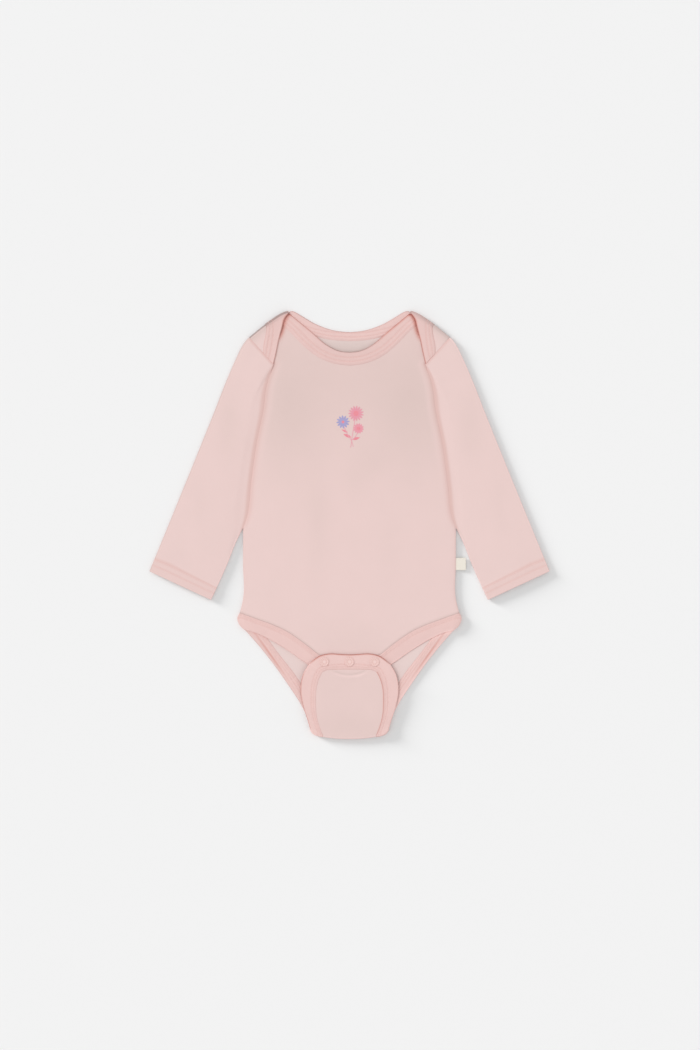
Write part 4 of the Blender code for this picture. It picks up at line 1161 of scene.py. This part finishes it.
# The leg seam gets a painted shade line and the edge painted light, paler on the right half, whose edge faces
# away from the sun.
front_leg_strip = Binding(*whole_lines(FRONT_LEG_SEAM, FRONT_LEG_EDGE, LEG_STEPS), LEG_ROWS,
                          mirrored(hip_end), hip_end, end_puckers=1.6, edge_blush=(0.1, 0.9),
                          edge_tone=(-0.7, 1.0), seam_blush=(0.1, 0.7), seam_tone=(1.35, 1.0))
leg_droop = LEG_DROOP * crosswise * ramp(np.abs(front_leg_strip.plan[..., 0]), 94, 80)
front_leg_strip.wall -= LEG_THINNING * crosswise ** 3
in_shade = ramp(front_leg_strip.plan[..., 0], 0, 30)
front_leg_strip.note[..., TONE] -= 0.8 * in_shade * bell(edge_gap(front_leg_strip.note), 1.6)
front_leg_strip.note[:, -1, RIM] = mix(EDGE_ROUND, SHADED_ROUND, in_shade[:, -1])
front_leg_sheet = front_leg_strip.on_top(lambda x, y: front_rise(x, y) - leg_droop)
front_leg = cloth("front_leg_rib", [front_leg_sheet], [pink_rib])

# %% Back neck binding, over both shoulders and down the lap edges
LAP_STEPS = 58
BACK_RIB_TONES = [(0, 190, 50, 30, 0.12), (-78, 184, 22, 40, 0.28), (78, 184, 22, 40, 0.28)]
# Painted shade on the rib's shoulder folds and on their upper ends.
RIB_FOLD_TONES, RIB_TOP_TONE = (1.2, 2.3), 0.9      # right and left fold, and their upper ends
rib_feet, rib_out = shoulder_fold(NECK_FOLD_SHARE * (1 - even(ACROSS_CUTS)))
back_neck_strip = Binding(*whole_lines(BACK_NECK_SEAM + [back_neck_corner], BACK_NECK_EDGE, NECK_STEPS),
                          NECK_ROWS, mirrored(rib_feet), rib_feet, seam_blush=(0.05, 0.7),
                          seam_tone=(0.0, 1.0))
(rib_turn, lap_start), (left_rib_turn, _) = [
    binding_fold(rib_feet, rib_out, lap_rise, back_neck_strip.wall[-1], back_neck_strip.note[-1],
                 tone, back_neck_strip.run[-1], 1, RIB_TOP_TONE) for tone in RIB_FOLD_TONES]
lap_strip = Binding(*half_lines([tuple(rib_feet[0])] + LAP_SEAM + [lap_seam_end], LAP_EDGE, LAP_STEPS),
                    NECK_ROWS, first=rib_feet, runs_from=lap_start)
lap_strip.wall[0] = back_neck_strip.wall[-1]
down_lap = ease(even(LAP_STEPS)[:, None] * 2.2)
# A pink painted shadow along the lap edges, deepest at the top, and painted shade beside the rib's fold. The
# cloth sun already shades the left lap edge, so less is painted there.
lap_strip.note[..., BLUSH] += mix(1.6, 0.9, down_lap) * bell(to_edge, mix(1.6, 0.7, down_lap))
lap_strip.note[..., TONE] += 0.9 * bell(past_first_row(lap_strip.plan), 2.8)
lap_sheet = lap_strip.on_top(lap_rise)
left_lap_sheet = other_side(lap_sheet)
for sheet, blush_more, tone_more in ((lap_sheet, 0.25, 0.0), (left_lap_sheet, -0.5, -1.5)):
    sheet[2][..., BLUSH] += blush_more * bell(to_edge, 1.0)
    sheet[2][..., TONE] += tone_more * bell(to_edge, 1.0)
back_neck_sheet = back_neck_strip.on_floor()
back_neck = cloth("back_neck_rib", [back_neck_sheet, rib_turn, other_side(left_rib_turn), lap_sheet,
                                    left_lap_sheet], [pink_rib], patches(BACK_RIB_TONES))

# %% Seat binding, over the crotch fold and round the flap
SEAT_STEPS, FLAP_STEPS, TOP_STEPS = 130, 62, 40
# Painted light: the seat's fold is made paler where it faces away from the sun.
SEAT_FOLD_TONE = -0.5
ROLL_LINE = [(80, -129, 54.5, 26, 1.1, 1.0)]        # a narrow furrow in the rib, as a row of creases
# The roll line's furrow gets pink painted shade.
ROLL_DEPTH, ROLL_BLUSH, SEAT_SWELL = 0.45, 0.8, 0.5
seat_feet, seat_out = crotch_fold(mix(SEAM_FOLD_X, EDGE_FOLD_X, even(ACROSS_CUTS)))
# The flap's top edge gets a painted shadow line that fades at its corners; the side and seat strips get
# painted light on their edges.
top_strip = Binding(*whole_lines(FLAP_TOP_SEAM[::-1], FLAP_TOP_EDGE[::-1], TOP_STEPS), LEG_ROWS,
                    edge_blush=(1.6, 1.0), edge_tone=(1.6, 1.0))
by_corner = ramp(np.abs(top_strip.plan[..., 0]), 32, 42) * bell(edge_gap(top_strip.note), 1.0)
top_strip.note[..., BLUSH] -= 1.4 * by_corner
top_strip.note[..., TONE] -= 1.6 * by_corner
side_lines = half_lines([flap_seam_foot] + FLAP_SIDE_SEAM, [flap_edge_foot] + FLAP_SIDE_EDGE, FLAP_STEPS)
side_strip = Binding(*side_lines, LEG_ROWS, first=seat_feet, way=-1, edge_blush=(0.3, 1.0),
                     edge_tone=(-0.8, 0.9), runs_from=top_strip.run[-1] + middle_length(side_lines))
side_strip.wall[-1] = top_strip.wall[-1] = top_strip.wall[0] = (side_strip.wall[-1] + top_strip.wall[-1]) / 2
fold_far = side_strip.run[0] + math.pi * float((flap_rise(*seat_feet.T) + side_strip.wall[0]).mean()) / 2
seat_lines = half_lines(SEAT_SEAM + [flap_seam_foot], SEAT_EDGE + [flap_edge_foot], SEAT_STEPS)
seat_strip = Binding(*seat_lines, LEG_ROWS, hip_end, seat_feet, way=-1, end_puckers=0.8,
                     edge_blush=(0.1, 0.9), edge_tone=(-0.8, 1.0),
                     runs_from=fold_far + middle_length(seat_lines))
roll = creases(seat_strip.plan[..., 0], seat_strip.plan[..., 1], ROLL_LINE)
seat_strip.wall += SEAT_SWELL * crosswise * ramp(seat_strip.plan[..., 1], -200, -180) - ROLL_DEPTH * roll
seat_strip.wall[-1] = side_strip.wall[0]
seat_strip.note[..., BLUSH] += ROLL_BLUSH * roll
seat_turn = binding_fold(seat_feet, seat_out, flap_rise, side_strip.wall[0], seat_strip.note[-1],
                         SEAT_FOLD_TONE, seat_strip.run[-1], -1)[0]
seat_sheet, side_sheet = seat_strip.on_floor(), side_strip.on_top(flap_rise)
top_sheet = top_strip.on_top(flap_rise)
left_side_sheet, left_seat_sheet = other_side(side_sheet), other_side(seat_sheet)
# Painted light on the right seat edge, which lies in shade, and where the front leg edge's shadow falls on
# it; painted shade on the left seat edge, which faces the sun.
by_leg_edge = bell(gap_to(FRONT_LEG_EDGE, seat_strip.plan), 2.0)
from_edge = edge_gap(seat_strip.note)
seat_sheet[2][..., TONE] -= 0.6 * bell(from_edge, 1.4) + by_leg_edge
left_seat_sheet[2][..., TONE] += 0.9 * bell(from_edge, 1.2)
seat_sheet[2][:, -1, RIM] = side_sheet[2][:, -1, RIM] = SHADED_ROUND
# The flap's sides: a painted shade line along the right seam and painted light on its shaded edge; a deep
# painted shade on the left edge, which faces the sun.
for rows, seam_depth, edge_depth in ((side_sheet[2], 1.5, -0.6), (left_side_sheet[2], -0.2, 2.0)):
    from_seam, from_edge = rows[..., REACH], edge_gap(rows)
    edge_depth *= ramp(side_strip.plan[..., 1], -144, -154)         # less at the flap's upper corners
    rows[..., TONE] += seam_depth * bell(from_seam, 1.6) + edge_depth * bell(from_edge, 0.9)
    rows[..., BLUSH] += (0.5 * seam_depth * bell(from_seam, 1.1)
                         + 0.3 * np.maximum(edge_depth, 0) * bell(from_edge, 0.9))
seat = cloth("seat_rib", [seat_sheet, left_seat_sheet, seat_turn, other_side(seat_turn), side_sheet,
                          left_side_sheet, top_sheet], [pink_rib])

# %% [markdown]
# ## Stitching
# A twin needle leaves two rows of short raised stitches on the right side. Thousands of separate
# objects would be slow, so each row is a line on its sheet, cut into stitches, and all the stitches of
# a piece become one mesh from arrays. A stitch is a small tube that dips into the cloth at both ends.

# %% Stitch rows
STITCH_PITCH, STITCH_LENGTH, STITCH_RADIUS = 2.6, 2.15, 0.17
STITCH_SIDES = 6
STITCH_RISE, STITCH_SINK = 0.12, 0.03
TUBE_SHARES = np.array([0.0, 0.12, 0.35, 0.65, 0.88, 1.0])
TUBE_RADII = np.array([0.25, 0.8, 1.0, 1.0, 0.8, 0.25])


def row_at(distance, places, outer, inner):
    """A line at a distance within every row of a sheet, and the way out of the cloth there."""
    line, behind = [np.array([[np.interp(distance, place, row[:, axis]) for axis in range(3)]
                              for row, place in zip(face, places)]) for face in (outer, inner)]
    return line, (line - behind) / np.linalg.norm(line - behind, axis=1)[:, None]


def row_across(sheet, distance, face=0):
    """A stitch line along a binding, at a distance from its seam."""
    return row_at(distance, sheet[2][..., REACH], sheet[face], sheet[1 - face])


def row_round_hem(sheet, distance, turned):
    """A stitch line round a hem, at a distance below the hem's top."""
    outer, inner = [face if turned else face.transpose(1, 0, 2) for face in sheet[:2]]
    return row_at(distance, [hem_place] * len(outer), outer, inner)


def full_turn(sides):
    """Angles of the corners of one ring."""
    return 2 * math.pi * np.arange(sides) / sides


def closed_tube(rings, sides):
    """Faces that join rings of points into a tube closed at both ends."""
    last = (rings - 1) * sides
    faces = [[low + side, low + after, low + sides + after, low + sides + side]
             for low in range(0, last, sides) for side, after in zip(range(sides), [*range(1, sides), 0])]
    return faces + [list(range(sides))[::-1], list(range(last, last + sides))]


def stitches(name, rows):
    """All the stitches of a piece, as one mesh of small tubes."""
    points, faces = [], []
    tube, turns = closed_tube(len(TUBE_SHARES), STITCH_SIDES), full_turn(STITCH_SIDES)
    for line, out in rows:
        run = length_of(line)
        count = max(int(run[-1] / STITCH_PITCH), 1)
        starts = (np.arange(count) + 0.5) * run[-1] / count - STITCH_LENGTH / 2
        places = starts[:, None] + TUBE_SHARES[None, :] * STITCH_LENGTH
        centre, normal = [np.stack([np.interp(places, run, values[:, axis]) for axis in range(3)], axis=-1)
                          for values in (line, out)]
        arch = STITCH_RISE * np.sin(math.pi * TUBE_SHARES)[None, :, None] - STITCH_SINK
        centre = centre + normal * arch
        forward = np.gradient(centre, axis=1)
        side = np.cross(forward, normal)
        side /= np.linalg.norm(side, axis=2)[..., None]
        radius = (STITCH_RADIUS * TUBE_RADII)[None, :, None, None]
        ring = centre[:, :, None] + radius * (side[:, :, None] * np.cos(turns)[:, None]
                                              + normal[:, :, None] * np.sin(turns)[:, None])
        size = len(TUBE_SHARES) * STITCH_SIDES
        faces += [[len(points) + stitch * size + corner for corner in face]
                  for stitch in range(count) for face in tube]
        points.extend(ring.reshape(-1, 3))
    points = np.array(points)
    points[:, 2] = np.maximum(points[:, 2], 0.0)
    return new_piece(name, points, faces, [pink_thread], points[:, :2], np.zeros(len(points)))


front_neck_stitches = stitches("front_neck_stitches",
                               [row_across(front_neck_sheet, row) for row in NECK_ROWS])
back_neck_stitches = stitches("back_neck_stitches", [
    row_across(sheet, row, face) for row in NECK_ROWS
    for sheet, face in ((back_neck_sheet, 0), (back_neck_sheet, 1), (rib_turn, 0), (other_side(rib_turn), 0),
                        (lap_sheet, 0), (other_side(lap_sheet), 0))])
front_leg_stitches = stitches("front_leg_stitches",
                              [row_across(front_leg_sheet, row) for row in LEG_ROWS])
seat_stitches = stitches("seat_stitches", [
    row_across(sheet, row, face) for row in LEG_ROWS
    for half, face in ((seat_sheet, 0), (seat_sheet, 1), (seat_turn, 0), (side_sheet, 0))
    for sheet in (half, other_side(half))] + [row_across(top_sheet, row) for row in LEG_ROWS])
hem_stitches = [
    stitches(name, [row_round_hem(sheet, row, turned) for row in HEM_STITCHES
                    for sheet, turned in zip(sleeve, (False, False, True, True))])
    for name, sleeve in (("hem_right_stitches", right_sleeve), ("hem_left_stitches", left_sleeve))]

# %% [markdown]
# ## Snaps
# Three open-ring snaps close the flap. Seen from outside, each is a low ring whose prongs show as a
# circle of small dots round a shallow dish. A lathe profile alone would miss the dots, so a round grid
# is lifted by a height formula: ring, dish, and small bells for the prongs.

# %% Snap rings
SNAP_RADIUS, SNAP_Y, SNAP_SPACING = 4.7, -137.2, 25.2
SNAP_TURNS, PRONGS, PRONG_CIRCLE, LOBES, LOBE_CIRCLE = 112, 8, 2.3, 14, 4.0
SNAP_BASE, SNAP_GAP = 0.42, 0.02
# The second tint is painted shade in the hollows between a snap's lobes and round its prongs.
SNAP_PINK, PAINTED_HOLLOW_SHADE_TINT = (0.84, 0.61, 0.575), (0.84, 0.66, 0.62)
RING_PROFILE = reader([(0.0, 0.12), (1.2, 0.14), (1.8, 0.10), (2.9, 0.12), (3.4, 0.26), (4.0, 0.34),
                       (4.4, 0.28), (4.7, 0.04)])


def moulded(name, colour):
    """Satin plastic, with painted shade in its hollows."""
    material = principled(name, colour, 0.42)
    nodes = Nodes(material)
    vector, (_, _, blush) = nodes.knit_place()
    grain = nodes.noise(vector, 3.0, 3.0)
    pale = nodes.colour_by(grain, tinted(colour, 1.03), tinted(colour, 0.97))
    nodes.paint(nodes.colour_by(blush, pale, tinted(colour, *PAINTED_HOLLOW_SHADE_TINT)))
    nodes.roughen(nodes.total((grain, 0.2), (1.0, 0.34)))
    nodes.bump(grain, 0.00003, 0.4)
    return material


def snap_relief(radius, turn):
    """Height of a snap's outer face over its base, and how much painted shade it has there."""
    lobes = 0.5 + 0.5 * np.cos(LOBES * turn)
    on_ring = bell(radius - LOBE_CIRCLE, 0.55)
    nearest = 2 * math.pi / PRONGS * np.round(turn * PRONGS / (2 * math.pi))
    away = np.hypot(radius * np.cos(turn) - PRONG_CIRCLE * np.cos(nearest),
                    radius * np.sin(turn) - PRONG_CIRCLE * np.sin(nearest))
    prong = bell(away, 0.5)
    height = RING_PROFILE(radius) + 0.12 * (lobes - 0.5) * on_ring + 0.20 * prong
    return height, 0.85 * (1 - lobes) * on_ring + 0.9 * (1 - prong) * bell(radius - PRONG_CIRCLE, 0.6)


def snap(name, x):
    """One snap, closed underneath, lying on the flap's band."""
    turns = full_turn(SNAP_TURNS)
    radii = np.concatenate((np.linspace(0.25, 4.2, 24), np.linspace(4.3, SNAP_RADIUS, 6)))
    base = float(flap_rise(x, SNAP_Y)) + RIB + SNAP_GAP
    reliefs = [snap_relief(radius, turns) for radius in radii]
    rings = [(radius, base + SNAP_BASE + height) for radius, (height, _) in zip(radii, reliefs)]
    rings += [(SNAP_RADIUS, np.full(SNAP_TURNS, base)), (SNAP_RADIUS * 0.9, np.full(SNAP_TURNS, base))]
    points = np.vstack([np.column_stack((x + radius * np.cos(turns), SNAP_Y + radius * np.sin(turns), height))
                        for radius, height in rings])
    blush = np.concatenate([rosy for _, rosy in reliefs] + [np.full(2 * SNAP_TURNS, 0.5)])
    return new_piece(name, points, closed_tube(len(rings), SNAP_TURNS), [snap_plastic], points[:, :2], blush)


snap_plastic = moulded("snap_plastic", SNAP_PINK)
snaps = [snap(f"{side}_snap", place * SNAP_SPACING)
         for side, place in (("left", -1), ("middle", 0), ("right", 1))]

# %% [markdown]
# ## Side label
# A short woven tape is folded in two and sewn into the side seam. It is a sheet like the others, so
# the same fold makes it: a lower layer, a tight turn at its outer end and an upper layer. It is left
# bare, with only the tape's own weave and a slightly thicker woven edge.

# %% Folded tape
LABEL_LOW, LABEL_HIGH, LABEL_INNER, LABEL_OUTER = -45.7, -33.3, 106.3, 116.1
LABEL_BOTTOM, LABEL_HEIGHT, TAPE = 0.66, 0.94, 0.34
LABEL_RISE, CORNER_RISE = 0.10, 0.25        # how much its outer end is raised, and its upper corner more
SELVEDGE_PLACE, SELVEDGE_WIDTH = 0.5, 0.35
WARP_PITCH, WEFT_PITCH = 0.28, 0.36
TAPE_CREAM = (0.85, 0.80, 0.71)


def woven(name, colour):
    """Satin label tape: fine warp lines, and a denser stripe near each selvedge."""
    material = principled(name, colour, 0.6)
    nodes = Nodes(material)
    vector, (x, y, blush) = nodes.knit_place()
    warp, weft = nodes.wave(y, WARP_PITCH), nodes.wave(x, WEFT_PITCH)
    hairs = nodes.noise(vector, 5.0, 3.0)
    share = nodes.total((warp, 0.10), (weft, 0.08), (hairs, 0.5), (blush, 0.6))
    nodes.paint(nodes.colour_by(share, tinted(colour, 1.04), tinted(colour, 0.86)))
    nodes.bump(nodes.total((warp, 0.5), (weft, 0.5), (hairs, 0.6)), 0.00008, 0.5)
    nodes.fuzz(0.1, 0.4)
    return material


def label_tape():
    """Both layers of the tape and its turn, with its free end slightly raised."""
    across = mix(LABEL_LOW, LABEL_HIGH, even(24))
    plan = np.dstack(np.meshgrid(mix(LABEL_INNER, LABEL_OUTER, even(20)), across, indexing="ij"))
    selvedge = ripples(across, [(1, LABEL_LOW + SELVEDGE_PLACE, SELVEDGE_WIDTH),
                                (1, LABEL_HIGH - SELVEDGE_PLACE, SELVEDGE_WIDTH)])
    note = notes(plan, blush=0.5 * selvedge[None, :], rim=0.12)
    sheets = [layer(plan, 0.0, TAPE, note), layer(plan, LABEL_HEIGHT, LABEL_HEIGHT - TAPE, note),
              folded(plan[-1], towards(np.zeros(len(across))), LABEL_HEIGHT, TAPE, note[-1], 0.2)]
    for face in [face for sheet in sheets for face in sheet[:2]]:
        upwards = ease((face[..., 1] - LABEL_LOW) / 14)
        lift = ease((face[..., 0] - LABEL_INNER) / 12) * (LABEL_RISE + CORNER_RISE * upwards)
        face[..., 2] += LABEL_BOTTOM + lift
    return sheets


label = cloth("side_label_tape", label_tape(), [woven("label_tape", TAPE_CREAM)])

# %% [markdown]
# ## A small printed sprig
# Three simple flowers are printed on the chest. Ink on knit has no thickness to speak of, but it takes
# the knit's relief. Painting it in the cloth's own nodes would hide the drawing in a long formula, so
# each petal, leaf and stem is a thin ribbon laid just over the cloth: a spine and a width along it. The
# ink's material repeats the knit's bump, so it looks pressed into the loops.

# %% Ribbons of ink
INK_HEIGHT = 0.045
INK_PINK, INK_BUD, INK_CORAL = (0.80, 0.30, 0.38), (0.82, 0.30, 0.37), (0.83, 0.24, 0.29)
INK_LAVENDER, INK_STEM = (0.37, 0.34, 0.60), (0.80, 0.36, 0.42)
OVERLAP = 0.006         # height of each of three neighbouring petals over the next


def inked(name, colour):
    """Printing ink on jersey, a little uneven where the loops are deep."""
    material = principled(name, colour, 0.75)
    nodes = Nodes(material)
    vector, (x, y, _) = nodes.knit_place()
    column = nodes.math("PINGPONG", x, WALE / 2)
    row = nodes.math("PINGPONG", nodes.total((y, 1.0), (column, 1.15)), COURSE / 2)
    hairs = nodes.noise(vector, HAIR_SCALE, 4.0)
    share = nodes.total((row, -0.5), (hairs, 0.7))
    nodes.paint(nodes.colour_by(share, colour, mix(np.array(colour), 0.75, 0.22)))
    nodes.bump(nodes.total((row, 2.0), (hairs, 0.8)), LOOP_RELIEF, 0.5)
    return material


def ribbon(spine, widths, raised=0.0, cuts=6):
    """A grid of points over the front, along a spine, as wide as given at each of its points."""
    aside = np.linspace(-0.5, 0.5, cuts + 1)[None, :, None]
    plan = spine[:, None] + square_to(spine)[:, None] * aside * np.asarray(widths)[:, None, None]
    return np.dstack((plan, front_rise(plan[..., 0], plan[..., 1]) + CLOTH + INK_HEIGHT + raised))


def flower(centre, radius, petals, turn, raised=0.0, fullness=0.56):
    """Narrow petals round a centre, each a hair over its neighbour."""
    t = even(12)
    widths = 2 * math.pi * radius / petals * fullness * np.sin(math.pi * mix(0.10, 0.985, t) ** 1.3) ** 0.6
    reach = (radius * mix(0.12, 1.0, t))[:, None]
    return [ribbon(np.array(centre) + towards(turn + 360 * petal / petals) * reach, widths,
                   raised + OVERLAP * (petal % 3)) for petal in range(petals)]


def disc(centre, radius, raised):
    """A round dot of ink."""
    t = mix(-0.995, 0.995, even(16))
    spine = np.array(centre) + np.column_stack((t * radius, 0 * t))
    return ribbon(spine, 2 * radius * np.sqrt(1 - t ** 2), raised)


def leaf(foot, tip, width):
    """A pointed leaf from its foot to its tip."""
    t = even(14)
    return ribbon(mix(np.array(foot), np.array(tip), t[:, None]), width * np.sin(math.pi * t ** 0.85) + 0.05)


def ink(name, ribbons, colour):
    """One mesh of ink from several ribbons."""
    points, faces = [], []
    for grid in ribbons:
        rows, columns = grid.shape[:2]
        numbers = len(points) + np.arange(rows * columns).reshape(rows, columns)
        points += grid.reshape(-1, 3).tolist()
        faces += np.stack((numbers[:-1, :-1], numbers[:-1, 1:], numbers[1:, 1:], numbers[1:, :-1]),
                          axis=-1).reshape(-1, 4).tolist()
    points = np.array(points)
    material = inked(name + "_ink", colour)
    return new_piece(name, points, faces, [material], points[:, :2], np.zeros(len(points)))


# %% The sprig
KNOT = (2.0, 84.0)
ROSE, VIOLET, BUD = (6.5, 111.0), (-6.5, 102.5), (9.0, 96.0)
stems = [(along([KNOT, mix(np.array(KNOT), np.array(head), 0.55) + side, head], even(20)), 0.75)
         for head, side in ((ROSE, (0.2, 1.0)), (VIOLET, (-1.6, 0.6)), (BUD, (1.4, -0.6)))]
stems += [(along([(1.0, 77.0), (1.8, 80.5), KNOT], even(12)), 0.8),
          (along([(3.8, 77.6), (3.0, 81.0), KNOT], even(12)), 0.6)]
drawn_stems = [ribbon(spine, np.full(len(spine), width), OVERLAP * place)
               for place, (spine, width) in enumerate(stems)]
leaves = [leaf((1.6, 87.0), (-6.2, 90.5), 2.8), leaf((3.0, 85.0), (10.5, 87.0), 2.6),
          leaf((-1.8, 92.0), (-8.0, 95.0), 1.8)]
sprig = [ink("printed_stems", drawn_stems, INK_STEM),
         ink("printed_leaves", leaves, INK_CORAL),
         ink("printed_rose", flower(ROSE, 7.8, 15, 12, 0.03) + [disc(ROSE, 3.9, 0.05)], INK_PINK),
         ink("printed_violet", flower(VIOLET, 6.6, 12, 5, 0.03) + [disc(VIOLET, 3.2, 0.05)], INK_LAVENDER),
         ink("printed_bud", flower(BUD, 5.3, 12, 20, 0.03, 0.7) + [disc(BUD, 3.0, 0.05)], INK_BUD),
         ink("printed_hearts", flower(ROSE, 3.0, 8, 0, 0.07, 0.7) + flower(BUD, 2.0, 7, 0, 0.07, 0.7)
             + [disc(VIOLET, 1.4, 0.07)], INK_CORAL)]

# %% [markdown]
# ## Finish: what rides, what it replaces and how it was cut
# The cloth doesn't move, so every piece rides on the one body. Each shell replaces its plain solid.
# A sheet's cut is given flat: its longest width and length, and the area of the cloth that shows.

replaced = [(front, "front_body", "jersey"), (back, "back_body", "jersey"),
            (sleeve_right, "sleeve_right", "jersey"), (sleeve_left, "sleeve_left", "jersey"),
            (front_neck, "front_neck_binding", "rib"), (back_neck, "back_neck_binding", "rib"),
            (front_leg, "front_leg_binding", "rib"), (seat, "seat_binding", "rib"),
            (snaps[0], "snap_left", "snap"), (snaps[1], "snap_middle", "snap"),
            (snaps[2], "snap_right", "snap"), (label, "side_label", "label")]
for piece, node, slot in replaced:
    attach(piece, "root")
    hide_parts(node)
for piece in [front_neck_stitches, back_neck_stitches, front_leg_stitches, seat_stitches]:
    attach(piece, "root")
for piece in hem_stitches + sprig:
    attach(piece, "root")

# Each sheet: the cut of what shows as width and length, its area, how it is held, what it rests on and
# what is fixed to it. Lengths are in metres.
sheets = [(front, (0.22, 0.34), 0.0576, "laid", [back], sprig),
          (back, (0.23, 0.50), 0.0750, "folded", [front], []),
          (sleeve_right, (0.15, 0.26), 0.0283, "laid", [], hem_stitches[:1]),
          (sleeve_left, (0.15, 0.26), 0.0283, "laid", [], hem_stitches[1:]),
          (front_neck, (0.0145, 0.20), 0.00252, "laid", [back], [front_neck_stitches]),
          (back_neck, (0.0145, 0.27), 0.00365, "folded", [front], [back_neck_stitches]),
          (front_leg, (0.0155, 0.27), 0.00402, "laid", [seat], [front_leg_stitches]),
          (seat, (0.0155, 0.52), 0.00692, "folded", [front], [seat_stitches] + snaps),
          (label, (0.0124, 0.0215), 0.00026, "folded", [], [])]
for piece, flat, area, held, rests_on, with_pieces in sheets:
    shell = sum(face.area for face in piece.data.polygons) / 2      # half the surface of a thin shell
    print(piece.name, "cut, m2:", area, " as it lies:", round(shell, 5))
